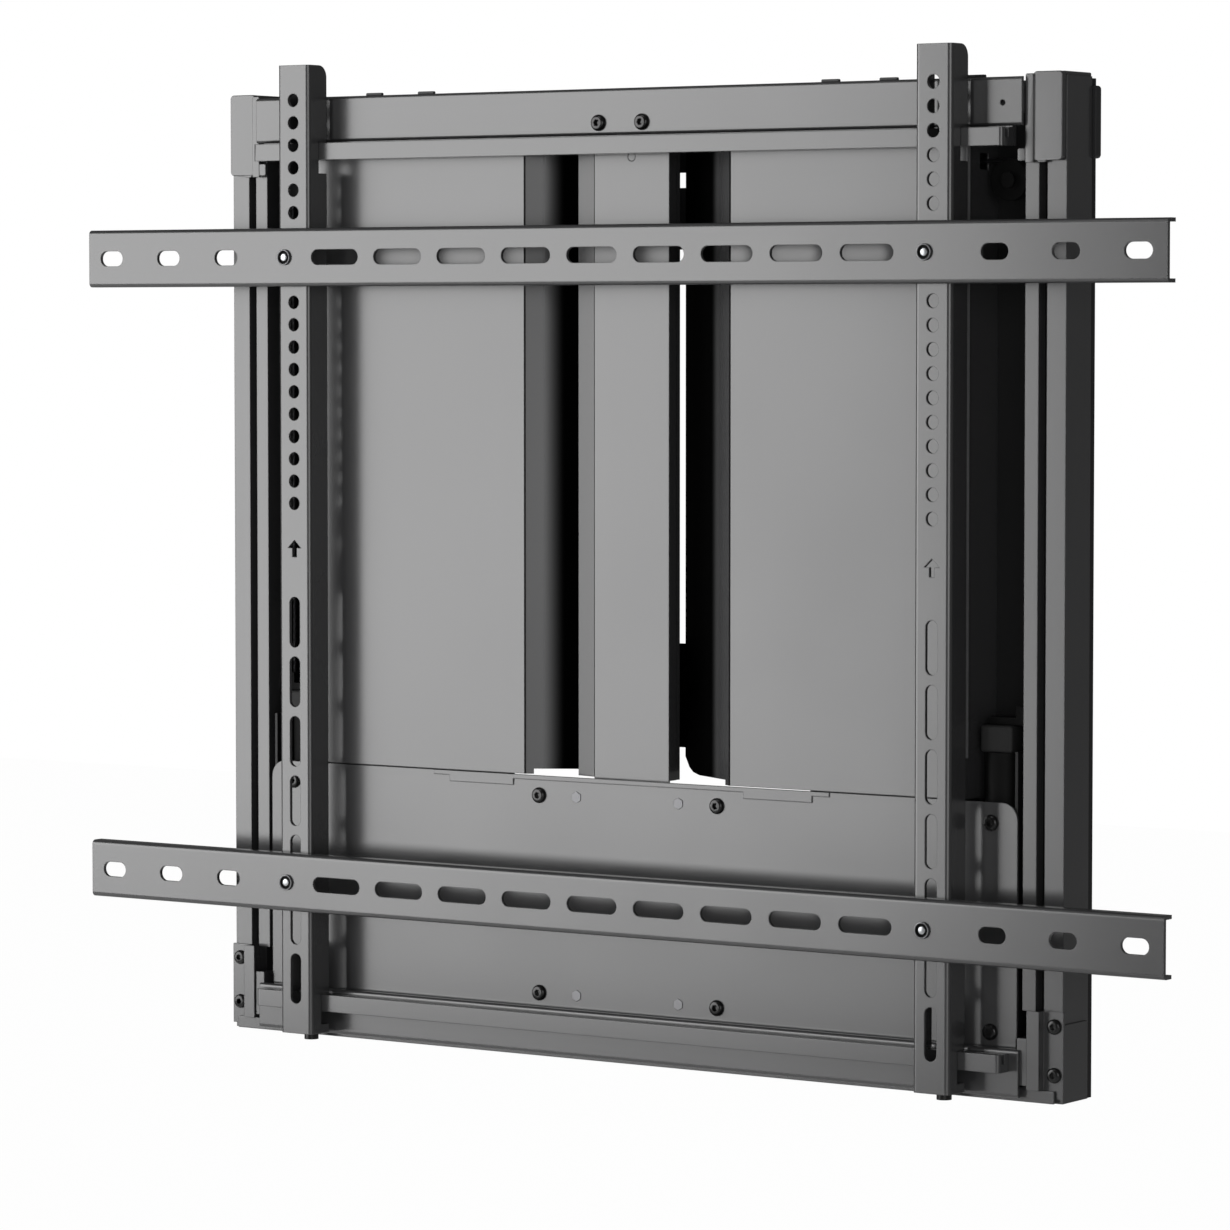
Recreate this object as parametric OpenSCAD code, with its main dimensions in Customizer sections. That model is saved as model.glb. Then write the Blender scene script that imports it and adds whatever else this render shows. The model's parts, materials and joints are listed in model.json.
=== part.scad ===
// Height adjustable wall lift for a large flat screen.
// Millimetres. The wall is the plane Y = 0 and the screen side looks to -Y, with +Z up.
// The origin is the middle of the four wall bolts, on the wall.
// A depth in this file is the distance from the wall towards the screen.

/* [Housing] */
// Width over the two outer uprights
housing_w = 653; // [640:1:680]
// Height of the outer uprights
housing_h = 636; // [620:1:660]
// Thickness of the folded steel sheet of the wall unit
sheet = 2; // [1.5:0.1:2.5]
// Depth of the front faces of the uprights
upright_depth = 38; // [37:0.5:39]
// Depth of the back edge of the uprights
upright_back = 7; // [6:0.5:9]
// Width of an outer upright
upright_w = 13.5; // [12:0.5:14]
// Wall thickness of an outer upright
upright_wall = 2.2; // [1.8:0.1:2.6]
// Width of the opening in the wall plate
window_w = 236; // [200:1:240]
// Distance of the opening in the wall plate from the top
window_drop = 54.5; // [52.5:1:68.5]
// Distance of the opening in the wall plate from the bottom
window_lift = 77.5; // [73.5:1:117.5]

/* [Wall fixing] */
// Distance of the wall bolts from the side edges
bolt_side = 96.5; // [90:0.5:105]
// Distance of the wall bolts from the upper and lower edge
bolt_end = 33; // [28:0.5:38]
// Diameter of the wall bolt holes
wall_bolt_hole = 9; // [7:0.5:11]
// Reach of the wall hook ends past the uprights
hook_reach = 2.7; // [1:0.1:4]
// Height of a wall hook end
hook_h = 45; // [35:1:50]

/* [Covers] */
// Depth of the front faces of the spring covers
cover_depth = 40.5; // [39.5:0.5:41]
// Inner fold of a spring cover, from the middle
cover_inner = 80.8; // [78:0.2:84]
// Distance of a spring cover from the side edge of the lower plate
cover_inset = 37; // [36:0.5:42]
// Inner end of the sloping flank of a cover
flank_inner = 25; // [24:0.5:28]
// Depth of the inner end of the flank
flank_depth = 8; // [7.6:0.2:10]
// Joint line between the covers and the lower plate
cover_joint = 0.8; // [0.5:0.1:2]
// Distance of the covers from the top of the carriage
cover_drop = 18; // [12:1:28]
// Thickness of the cover sheet
cover_sheet = 1.2; // [1:0.1:1.5]
// Depth of the front face of the middle column
column_depth = 34; // [33:0.5:36]
// Half width of the front face of the middle column
column_half = 29.4; // [28.5:0.1:30]

/* [Lower plate] */
// Gap between the lower plate and a slide profile
plate_gap = 3.4; // [3.4:0.1:5.4]
// Depth of the front face of the lower plate
plate_depth = 39; // [38.5:0.5:39.5]
// Height of the lower plate
plate_h = 180; // [178:0.5:182]
// Distance of the lower plate from the bottom of the uprights
plate_lift = 5.5; // [4:0.5:8]
// Radius of the upper corners of the lower plate
plate_corner = 11; // [6:1:15]
// Distance of the upper row of plate screws from the edge
row_top = 13; // [12:0.5:18]
// Distance of the lower row of plate screws from the edge
row_low = 36; // [34:1:40]

/* [Carriage] */
// Width of a slide profile
slide_w = 9.6; // [9.2:0.1:9.8]
// Gap between a slide profile and its upright
slide_gap = 6; // [5.6:0.1:7]
// Distance of the carriage from the top of the uprights
carriage_drop = 0.5; // [0.5:0.5:4.5]
// Depth of the front faces of the cross channels
channel_depth = 47; // [46:0.5:48]
// Depth of the back edges of the cross channels
channel_back = 42.2; // [42:0.1:43]
// Thickness of the cross channel sheet
channel_sheet = 2.4; // [2:0.1:2.6]
// Lap of a cross channel on each slide profile
channel_lap = 2.2; // [1:0.2:2.4]
// Height of a cross channel
channel_h = 30.3; // [28:0.1:32]
// Distance of the lower cross channel from the bottom of the uprights
low_channel_lift = 2.5; // [0.5:0.5:4.5]
// Distance of the end of a hook bar from the end of its channel
bar_inset = 6.6; // [6.6:0.4:19.4]
// Height of a hook bar
bar_h = 11.4; // [10:0.2:12]
// Depth of a hook bar from front to back
bar_d = 12; // [11:0.5:13]
// Distance of the upper hook bar from the top of the carriage
bar_top_drop = 42.7; // [42:0.1:44]
// Distance of the lower hook bar from the bottom of its channel
bar_low_lift = 16.4; // [15:0.1:18]
// Width of the hooking groove in a bar
groove_w = 3.4; // [3:0.1:4]
// Depth of the hooking groove in a bar
groove_h = 6; // [4:0.5:7]

/* [Screen frame] */
// Distance between the two vertical brackets
bracket_pitch = 500; // [480:1:510]
// Width of a vertical bracket
bracket_w = 26.5; // [25:0.5:28]
// Depth of the front face of a vertical bracket
bracket_depth = 70; // [69:0.5:71]
// Depth of the right side flange of a vertical bracket
bracket_flange = 19.5; // [18.5:0.5:21]
// Depth of the short left lip of a vertical bracket
bracket_lip = 6; // [5:0.5:7]
// Reach of a vertical bracket over the top of the uprights
bracket_over = 20; // [12:0.5:26]
// Distance of a vertical bracket from the bottom of the uprights
bracket_lift = 4; // [1.5:0.5:5.5]
// Height of the left wall at the lower hook of a bracket
left_wall_low = 57; // [55:0.5:59]
// Height of the left wall at the upper hook of a bracket
left_wall_top = 61; // [60:0.5:62]
// Sheet thickness of the brackets and rails
frame_sheet = 2.5; // [2:0.1:3]
// Bend radius of the brackets and rails
bend_r = 3; // [2.6:0.1:4]
// Number of round holes in a bracket
hole_count = 19; // [15:1:19]
// Pitch of the round holes
hole_pitch = 15; // [14:0.5:15]
// Diameter of the round holes
hole_dia = 8.8; // [7:0.2:9]
// Distance of the highest round hole from the top of the bracket
hole_margin = 23.5; // [20.5:0.5:28.5]
// Number of long holes in a bracket
long_count = 7; // [5:1:7]
// Pitch of the long holes
long_pitch = 40.2; // [39:0.1:41]
// Length of the long holes
long_len = 34; // [28:1:35]
// Distance of the lowest long hole from the bottom of the bracket
long_margin = 37.3; // [35.3:0.5:40.3]
// Length of the horizontal rails
rail_len = 840; // [830:1:900]
// Height of a horizontal rail
rail_h = 39; // [36:1:42]
// Depth of a horizontal rail from front to back
rail_d = 9.6; // [9:0.1:9.8]
// Distance between the two rails
rail_pitch = 420; // [400:1:430]
// Width of the slots in the rails
rail_slot_w = 10.2; // [8:0.2:12]
// Length of the end slots
end_slot_len = 19.5; // [16:0.5:22]
// Place of the outermost slots, from the middle
end_slot_far = 400; // [395:1:404]
// Pitch of the end slots
end_slot_pitch = 50; // [45:1:52]
// Length of the middle slots
mid_slot_len = 39; // [34:1:40]
// Pitch of the middle slots
mid_slot_pitch = 52; // [50:1:53]

/* [Balance works] */
// Distance of the lifting cable from the slide profile
lift_inset = 8.4; // [8.4:0.1:9.4]
// Depth of the cables and springs
works_depth = 20; // [19:0.5:21]
// Radius of the cable line on a pulley
pulley_r = 12; // [11.5:0.1:12]
// Distance of the fixed pulleys from the top of the uprights
pulley_drop = 63.5; // [62.5:0.5:68.5]
// Radius of the cable
cable_r = 1.2; // [1:0.1:1.3]
// Distance of the pull block pulley from the middle
pull_x = 175; // [172:1:178]
// Distance of the pull block pulley below the fixed pulleys
pull_drop = 65; // [63:1:69]
// Distance between the two springs of one side
spring_pitch = 50; // [46:1:54]
// Outer radius of a spring
spring_r = 11; // [9:0.5:12]
// Radius of the adjusting spindle
spindle_r = 5; // [4:0.5:6]
// Depth of the adjusting spindle
spindle_depth = 15; // [14:0.5:17]
// Height of the adjusting crosshead over the bottom of the covers
crosshead_lift = 54.2; // [51.2:0.2:57.2]
// Radius of the stop post at each side
post_r = 12.5; // [11:0.5:13]
// Distance of the stop post from the slide profile
post_inset = 23.4; // [22.4:0.5:24.4]
// Height of a rubber buffer over the lower plate
buffer_rise = 47.4; // [42:0.1:52]

/* [Hidden] */
$fn = 48;
// Clearance of parts that only lie beside each other
gap = 0.3;
// Running clearance of a shaft in its hole
run = 0.05;
// Overlap of the pieces of one solid
eps = 0.01;

housing_half = housing_w / 2;
housing_top = housing_h / 2 + 0.5;
housing_low = housing_top - housing_h;
upright_in = housing_half - upright_w;
slide_out = upright_in - slide_gap;
slide_in = slide_out - slide_w;
channel_half = slide_in + channel_lap;
bar_half = channel_half - bar_inset;
plate_half = slide_in - plate_gap;
cover_outer = plate_half - cover_inset;
lift_x = slide_in - lift_inset;
post_x = slide_in - post_inset;
wall_bolt_x = housing_w - 2 * bolt_side;
wall_bolt_z = housing_h - 2 * bolt_end;
window_top = housing_top - window_drop;
window_bottom = housing_low + window_lift;
carriage_top = housing_top - carriage_drop;
low_channel_z = housing_low + low_channel_lift;
bar_top_z = carriage_top - bar_top_drop;
bar_low_z = low_channel_z + bar_low_lift;
plate_bottom = housing_low + plate_lift;
plate_top = plate_bottom + plate_h;
plate_row_top = plate_top - row_top;
plate_row_low = plate_bottom + row_low;
cover_bottom = plate_top + cover_joint;
cover_top = carriage_top - cover_drop;
crosshead_z = cover_bottom + crosshead_lift;
bracket_top = housing_top + bracket_over;
bracket_bottom = housing_low + bracket_lift;
hole_top = bracket_top - hole_margin;
pulley_z = housing_top - pulley_drop;
pull_z = pulley_z - pull_drop;
buffer_top = plate_top + buffer_rise;
coat = "#3b3b3d";
dark = "#232325";
black = "#161617";
silver = "#b9bbbd";

// A box from its limits, with depths counted from the wall
module box(x0, x1, d0, d1, z0, z1) {
  translate([x0, -d1, z0]) cube([x1 - x0, d1 - d0, z1 - z0]);
}

// The right side, or its mirror image for the left
module side(s) {
  mirror([s < 0 ? 1 : 0, 0, 0]) children();
}

// A round pin that points to the screen side, from depth d0 to d1
module pin_y(x, z, r, d0, d1) {
  translate([x, -d0, z]) rotate([90, 0, 0]) cylinder(r = r, h = d1 - d0);
}

// Cutter for an oblong hole across a face, with its length along X or Z
module slot_y(x, z, len, w, d0, d1, upright = false) {
  reach = (len - w) / 2;
  for (k = [-1, 1]) {
    pin_y(x + (upright ? 0 : k * reach), z + (upright ? k * reach : 0), w / 2, d0, d1);
  }
  box(
    x - (upright ? w / 2 : reach), x + (upright ? w / 2 : reach), d0, d1,
    z - (upright ? reach : w / 2), z + (upright ? reach : w / 2)
  );
}

// Outline of a folded channel: web on the X axis, flanges along +Y
module channel_outline(w, h, t, r) {
  ri = max(r - t, 0.2);
  difference() {
    union() {
      translate([-w / 2, r]) square([w, h - r]);
      translate([-w / 2 + r, 0]) square([w - 2 * r, h / 2]);
      for (k = [-1, 1]) translate([k * (w / 2 - r), r]) circle(r);
    }
    translate([-w / 2 + t, t + ri]) square([w - 2 * t, h]);
    translate([-w / 2 + t + ri, t]) square([w - 2 * t - 2 * ri, h]);
    for (k = [-1, 1]) translate([k * (w / 2 - t - ri), t + ri]) circle(ri);
  }
}

// A button head screw with a socket, seated on the depth d of a face
module button_screw(x, z, d, head_r, head_h, shank_r, shank_len, socket_r) {
  difference() {
    union() {
      pin_y(x, z, shank_r, d - shank_len, d + eps);
      pin_y(x, z, head_r, d, d + head_h * 0.45);
      translate([x, -d - head_h * 0.45 + eps, z]) rotate([90, 0, 0])
        cylinder(r1 = head_r, r2 = head_r * 0.62, h = head_h * 0.55);
    }
    translate([x, -d - head_h * 0.35, z]) rotate([90, 0, 0])
      cylinder(r = socket_r, h = head_h, $fn = 6);
  }
}

// Wall plate with its folded rim, window and wall bolt holes
plate_edge = housing_half - 1.2;
module back_plate() {
  color(dark) difference() {
    union() {
      box(-plate_edge, plate_edge, 0, sheet, housing_low, housing_top - 1);
      for (s = [-1, 1]) side(s)
        box(plate_edge - sheet, plate_edge, 0, upright_back, housing_low, housing_top - 1);
      box(-cover_outer, cover_outer, 0, 9, housing_low, housing_low + sheet);
      box(-cover_outer, cover_outer, 0, cover_depth - 4, cover_top + 1, cover_top + 1 + sheet);
    }
    box(-window_w / 2, window_w / 2, -1, sheet + 1, window_bottom, window_top);
    for (x = [-1, 1], z = [-1, 1])
      pin_y(x * wall_bolt_x / 2, z * wall_bolt_z / 2, wall_bolt_hole / 2, -1, sheet + 1);
  }
}

// Outer upright: a folded channel with the guide groove of the slide
corner_rows = [housing_low + 48.2, housing_low + 17.9];
corner_x = housing_half - 5;
corner_screw_r = 2.2;
module upright() {
  difference() {
    union() {
      box(housing_half - upright_wall, housing_half, upright_back, upright_depth, housing_low, housing_top);
      box(upright_in, housing_half, upright_depth - upright_wall, upright_depth, housing_low, housing_top);
      box(upright_in, upright_in + upright_wall, sheet, upright_depth, housing_low, housing_top - 1 - eps);
      box(slide_in - 1, upright_in + eps, sheet, sheet + upright_wall, housing_low, housing_top - 1 - eps);
    }
    for (z = corner_rows) pin_y(corner_x, z, corner_screw_r + run, upright_depth - 5, upright_depth + 1);
  }
}
module upright_left() {
  color(coat) side(-1) upright();
}
module upright_right() {
  color(coat) side(1) upright();
}

// Plastic glide between the upright and the slide
glide_front = upright_depth - 9;
module glide() {
  box(slide_out + gap, upright_in, sheet + upright_wall + 1, glide_front, housing_low + 4, housing_top - 12);
}
module glide_left() {
  color(black) side(-1) glide();
}
module glide_right() {
  color(black) side(1) glide();
}

// Spring cover: front face, sloping inner flank with its tab, outer return
tab_half = 34;
tab_low = crosshead_z - tab_half;
tab_high = crosshead_z + tab_half;
tab_reach = 7;
module flank_outline() {
  polygon([
    [cover_outer, -cover_depth], [cover_inner, -cover_depth],
    [flank_inner, -flank_depth], [flank_inner + 1.6, -flank_depth + 1],
    [cover_inner + 0.5, -cover_depth + cover_sheet], [cover_outer, -cover_depth + cover_sheet]
  ]);
}
cable_room = 5;
flank_foot = 3.4;
foot_reach = 14;
module cover() {
  difference() {
    translate([0, 0, cover_bottom]) linear_extrude(cover_top - cover_bottom) flank_outline();
    translate([0, 1, cover_bottom]) rotate([90, 0, 0]) linear_extrude(cover_depth - 2) polygon([
      [cover_inner - 4, -1], [cover_inner - 4, flank_foot], [flank_inner + foot_reach + 4, flank_foot],
      [flank_inner + foot_reach - 4, flank_foot + 1.4], [flank_inner + 5, flank_foot + 4.4],
      [flank_inner + 1.6, flank_foot + 9], [flank_inner - 1, flank_foot + 12], [flank_inner - 1, -1]
    ]);
  }
  difference() {
    box(cover_outer - cover_sheet, cover_outer, sheet, cover_depth - eps, cover_bottom, cover_top);
    box(
      cover_outer - cover_sheet - 1, cover_outer + 1, works_depth - cable_room, works_depth + cable_room,
      pulley_z + pulley_r - cable_room, pulley_z + pulley_r + cable_room
    );
  }
  translate([0, -flank_depth, 0]) rotate([90, 0, 0]) linear_extrude(cover_sheet) polygon([
    [flank_inner + 1.5, tab_low], [flank_inner - tab_reach + 3, tab_low],
    [flank_inner - tab_reach, tab_low + 7], [flank_inner - tab_reach, tab_high - 7],
    [flank_inner - tab_reach + 3, tab_high], [flank_inner + 1.5, tab_high]
  ]);
  box(cover_inner, cover_inner + 12, sheet, cover_depth - eps, cover_top - 3, cover_top);
}
module cover_left() {
  color(coat) side(-1) cover();
}
module cover_right() {
  color(coat) side(1) cover();
}

// Middle column: front face, narrow left strip, right return and back feet
column_top = cover_top - 6;
return_step = 8.6;
return_d = 14;
module column_cover() {
  color(coat) difference() {
    union() {
      translate([0, 0, cover_bottom]) linear_extrude(column_top - cover_bottom) polygon([
        [column_half, -column_depth], [-column_half, -column_depth],
        [-column_half - 15.5, -column_depth + 4], [-column_half - 15.5, -column_depth + 5.4],
        [-column_half + 0.3, -column_depth + 1.4], [column_half - 1.4, -column_depth + 1.4],
        [column_half - 1.4, -column_depth + return_step], [column_half - 2.2, -column_depth + return_step],
        [column_half - 2.2, -column_depth + return_d], [column_half - 0.8, -column_depth + return_d],
        [column_half - 0.8, -column_depth + return_step], [column_half, -column_depth + return_step]
      ]);
      box(-column_half, column_half, column_depth - 1.4, column_depth, plate_bottom + 60, cover_bottom + eps);
      box(-flank_inner + 1, flank_inner - 1, sheet, column_depth - 1, column_top - 3, column_top);
    }
    pin_y(0, column_top - 20, 3, column_depth - 3, column_depth + 1);
  }
}

// Wide lower plate with rounded upper corners and its screw holes
plate_sheet = 2;
screw_in = 70.3;
screw_out = plate_half - 19;
hex_x = 40.3;
hem_front = plate_depth + 0.8;
hem_half = 156;
hem_low = plate_top - 2.8;
tongue_in = 91;
tongue_out = 143;
tongue_low = plate_top - 7;
module lower_plate() {
  color(coat) difference() {
    union() {
      box(
        -plate_half, plate_half, plate_depth - plate_sheet, plate_depth, plate_bottom,
        plate_top - plate_corner
      );
      box(
        -plate_half + plate_corner, plate_half - plate_corner, plate_depth - plate_sheet,
        plate_depth, plate_top - plate_corner - eps, plate_top
      );
      for (s = [-1, 1])
        pin_y(
          s * (plate_half - plate_corner), plate_top - plate_corner, plate_corner,
          plate_depth - plate_sheet, plate_depth
        );
      box(-plate_half, plate_half, sheet + eps, plate_depth, plate_bottom, plate_bottom + plate_sheet);
      box(-hem_half, hem_half, plate_depth - eps, hem_front, hem_low, plate_top);
      for (s = [-1, 1]) side(s)
        box(tongue_in, tongue_out, plate_depth - eps, hem_front, tongue_low, hem_low + eps);
    }
    for (x = [-screw_out, -screw_in, screw_in, screw_out], z = [plate_row_top, plate_row_low])
      pin_y(x, z, 2.6, plate_depth - plate_sheet - 1, plate_depth + 1);
    for (x = [-hex_x, hex_x], z = [plate_row_top, plate_row_low])
      pin_y(x, z, 2.6, plate_depth - plate_sheet - 1, plate_depth + 1);
    for (s = [-1, 1]) side(s)
      box(slide_in - 4, plate_half + 1, sheet, plate_depth + 1, plate_bottom - 1, plate_row_low - 3);
  }
}

// Flush clinch nuts of the lower plate, two rows of two
module clinch_nuts() {
  color(silver)
    for (x = [-hex_x, hex_x], z = [plate_row_top, plate_row_low]) {
      pin_y(x, z, 2.55, plate_depth - 7, plate_depth + 0.02);
      translate([x, -plate_depth, z]) rotate([90, 30, 0]) cylinder(r = 3.9, h = 0.4, $fn = 6);
    }
}

// Button screws that hold the lower plate
module plate_screws() {
  color(black)
    for (x = [-screw_out, -screw_in, screw_in, screw_out], z = [plate_row_top, plate_row_low])
      button_screw(x, z, plate_depth, 5.3, 2.6, 2.5, 5.5, 2);
}

// Corner bracket at the foot of each upright
corner_low = housing_low;
corner_high = housing_low + 57.5;
corner_fold = upright_in - 1;
corner_sheet = 1.8;
corner_step = 7.9;
module corner_bracket() {
  difference() {
    union() {
      box(
        corner_fold, housing_half + 1.4, upright_depth, upright_depth + corner_sheet,
        corner_low + 3, corner_high
      );
      box(
        slide_out - 2, corner_fold + corner_sheet, upright_depth + corner_step - corner_sheet,
        upright_depth + corner_step, corner_low + 8, corner_high
      );
      box(
        corner_fold, corner_fold + corner_sheet, upright_depth, upright_depth + corner_step,
        corner_low + 8, corner_high
      );
      box(
        housing_half, housing_half + 1.4, 10, upright_depth + corner_sheet, corner_low + 3,
        corner_high - 8
      );
    }
    for (z = corner_rows) pin_y(corner_x, z, corner_screw_r + run, upright_depth - 1, upright_depth + 3);
  }
}
module corner_bracket_left() {
  color(coat) side(-1) corner_bracket();
}
module corner_bracket_right() {
  color(coat) side(1) corner_bracket();
}
module corner_screws() {
  color(black)
    for (s = [-1, 1], z = corner_rows)
      button_screw(s * corner_x, z, upright_depth + corner_sheet, 4.9, 2.4, corner_screw_r, 5, 1.8);
}

// Plastic cap over the top of each upright, with its strip in front of the slide
cap_low = housing_top - 53.5;
cap_top = housing_top + 2.4;
cap_in = slide_out - 2.4;
cap_out = housing_half - 0.7;
cap_front = upright_depth + 4.3;
strip_sheet = 1.8;
strip_front = cap_front + 1.2;
strip_in = channel_half + 0.4;
strip_out = cap_in + 1.3;
module top_cap() {
  box(cap_in, cap_out, upright_depth + gap, cap_front, cap_low, cap_top);
  box(upright_in, cap_out, upright_depth, upright_depth + gap + eps, cap_low, housing_top + eps);
  box(slide_out + gap, cap_out, upright_back, upright_depth + gap + eps, housing_top, cap_top);
  box(strip_in, strip_out, strip_front - strip_sheet, strip_front, cap_low, carriage_top + 1.6);
  box(strip_in - 5.5, strip_in + eps, strip_front - strip_sheet, strip_front, cap_low + 1, cap_low + 9);
}
module top_cap_left() {
  color(coat) side(-1) top_cap();
}
module top_cap_right() {
  color(coat) side(1) top_cap();
}

// Rounded ends of the wall hooks behind the top caps
hook_z = housing_top - 50.5;
module hook_end() {
  box(plate_edge, housing_half + hook_reach, 0.5, upright_back - 0.3, hook_z, hook_z + hook_h);
}
module wall_hook_ends() {
  color(black) for (s = [-1, 1]) side(s) hook_end();
}

// Side bracket that carries the outer edge of the lower plate
flange_x = plate_half - 3;
flange_sheet = 2;
flange_rise = 32;
module side_bracket() {
  difference() {
    union() {
      box(
        flange_x, flange_x + flange_sheet, sheet, plate_depth - plate_sheet, plate_row_low - 2,
        plate_top + flange_rise
      );
      box(
        screw_out - 9, flange_x + flange_sheet, plate_depth - plate_sheet - flange_sheet,
        plate_depth - plate_sheet, plate_row_low - 2, plate_top - 3
      );
    }
    for (z = [plate_row_top, plate_row_low])
      pin_y(screw_out, z, 2.55, plate_depth - 6, plate_depth);
  }
}
module side_bracket_left() {
  color(dark) side(-1) side_bracket();
}
module side_bracket_right() {
  color(dark) side(1) side_bracket();
}

// Stop post with its foot, and the rubber buffer on top
post_foot = plate_row_low - 8;
post_top = buffer_top - 17;
module stop_post() {
  difference() {
    translate([post_x, -works_depth, post_foot]) cylinder(r = post_r, h = post_top - post_foot);
    translate([post_x, -works_depth, post_foot - 1]) cylinder(r = post_r - 2, h = post_top - post_foot + 2);
  }
  box(post_x - post_r, post_x + post_r, sheet, works_depth - 5, post_foot - 3, post_foot + eps);
  box(
    post_x - post_r, post_x + post_r, works_depth - 5 - eps, works_depth + 8, post_foot - 3,
    post_foot + eps
  );
}
module stop_post_left() {
  color(dark) side(-1) stop_post();
}
module stop_post_right() {
  color(dark) side(1) stop_post();
}
module buffer() {
  box(post_x - 11.5, post_x + 11.5, works_depth - 12, works_depth + 12, post_top, buffer_top);
}
module buffer_left() {
  color(black) side(-1) buffer();
}
module buffer_right() {
  color(black) side(1) buffer();
}

// Upper beam across the window with the bearing of the spindle
beam_z = pulley_z - 41;
beam_h = 40;
beam_lap = 14;
beam_end = window_w / 2 + beam_lap;
bearing_wall = 7;
module spindle_beam() {
  color(dark) difference() {
    union() {
      box(-beam_end, beam_end, sheet, sheet + 4, beam_z, beam_z + beam_h);
      box(
        -spindle_r - bearing_wall, spindle_r + bearing_wall, sheet, spindle_depth + spindle_r + 4,
        beam_z + 12, beam_z + 28
      );
    }
    translate([0, -spindle_depth, beam_z]) cylinder(r = spindle_r + run, h = beam_h);
  }
}

// Lower bearing of the spindle, on a bar across the window
foot_z = plate_top - 58;
foot_h = 24;
module spindle_foot() {
  color(dark) difference() {
    union() {
      box(-beam_end, beam_end, sheet, sheet + 4, foot_z, foot_z + foot_h);
      box(
        -spindle_r - bearing_wall, spindle_r + bearing_wall, sheet, spindle_depth + spindle_r + 4,
        foot_z + 4, foot_z + 16
      );
    }
    translate([0, -spindle_depth, foot_z - 1]) cylinder(r = spindle_r + run, h = foot_h + 2);
  }
}

// Adjusting spindle with collars and a hexagon head at the top
module spindle() {
  color(silver) {
    translate([0, -spindle_depth, foot_z + 2]) cylinder(r = spindle_r, h = beam_z + beam_h - foot_z);
    translate([0, -spindle_depth, foot_z + 16 + gap]) cylinder(r = spindle_r + 3, h = 4);
    translate([0, -spindle_depth, beam_z + 12 - 4 - gap]) cylinder(r = spindle_r + 3, h = 4);
    translate([0, -spindle_depth, beam_z + beam_h]) cylinder(r = spindle_r + 2.5, h = 9, $fn = 6);
  }
}

// Crosshead that rides on the spindle and holds the lower spring ends
cross_half = pull_x + spring_pitch / 2 + 12;
cross_h = 30;
cross_front = flank_depth - 1 - gap;
module crosshead() {
  color(dark) difference() {
    union() {
      box(-cross_half, cross_half, sheet + gap, cross_front, crosshead_z - cross_h / 2,
        crosshead_z + cross_h / 2);
      box(
        -spindle_r - 6, spindle_r + 6, sheet + gap, spindle_depth + spindle_r + 5,
        crosshead_z - cross_h / 2 + 1, crosshead_z + cross_h / 2 - 1
      );
      for (s = [-1, 1], k = [-1, 1])
        pin_y(
          s * (pull_x + k * spring_pitch / 2), crosshead_z, 4, cross_front - eps,
          works_depth + spring_r + 2
        );
    }
    translate([0, -spindle_depth, crosshead_z - cross_h])
      cylinder(r = spindle_r + run, h = 2 * cross_h);
  }
}

// Pair of balance springs of one side, drawn as closed tubes with end eyes
block_drop = 24;
block_low = pull_z - block_drop;
module springs() {
  for (k = [-1, 1]) difference() {
    translate([pull_x + k * spring_pitch / 2, -works_depth, crosshead_z + 4 + gap])
      cylinder(r = spring_r, h = block_low - crosshead_z - 4 - 2 * gap);
    translate([pull_x + k * spring_pitch / 2, -works_depth, crosshead_z + 10])
      cylinder(r = spring_r - 3, h = block_low - crosshead_z - 20);
  }
}
module springs_left() {
  color(silver) side(-1) springs();
}
module springs_right() {
  color(silver) side(1) springs();
}

// Pull block: bar over both springs with two cheeks and the pulley pin
block_half = spring_pitch / 2 + spring_r;
cheek_in = 3.6;
cheek_out = 6;
module pull_block() {
  box(pull_x - block_half, pull_x + block_half, works_depth - 6, works_depth + 6, block_low, block_low + 8);
  for (k = [0, 1])
    box(
      pull_x - 7, pull_x + 7, works_depth + (k == 0 ? -cheek_out : cheek_in),
      works_depth + (k == 0 ? -cheek_in : cheek_out), block_low + 8 - eps, pull_z + 7
    );
  pin_y(pull_x, pull_z, 3, works_depth - cheek_in - eps, works_depth + cheek_in + eps);
}
module pull_block_left() {
  color(dark) side(-1) pull_block();
}
module pull_block_right() {
  color(dark) side(1) pull_block();
}

// Grooved pulley about an axis that points to the screen side
pulley_half = 3.2;
module pulley(x, z) {
  translate([x, -works_depth, z]) rotate([90, 0, 0]) rotate_extrude() polygon([
    [3 + run, -pulley_half], [pulley_r + 0.9, -pulley_half], [pulley_r + 0.9, -pulley_half + 0.6],
    [pulley_r - cable_r - 0.1, -cable_r - 0.3], [pulley_r - cable_r - 0.1, cable_r + 0.3],
    [pulley_r + 0.9, pulley_half - 0.6], [pulley_r + 0.9, pulley_half], [3 + run, pulley_half]
  ]);
}
outer_x = lift_x - pulley_r;
inner_x = pull_x + 2 * pulley_r;
module outer_pulley_left() {
  color(silver) side(-1) pulley(outer_x, pulley_z);
}
module outer_pulley_right() {
  color(silver) side(1) pulley(outer_x, pulley_z);
}
module inner_pulley_left() {
  color(silver) side(-1) pulley(inner_x, pulley_z);
}
module inner_pulley_right() {
  color(silver) side(1) pulley(inner_x, pulley_z);
}
module pull_pulley_left() {
  color(silver) side(-1) pulley(pull_x, pull_z);
}
module pull_pulley_right() {
  color(silver) side(1) pulley(pull_x, pull_z);
}

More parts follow.
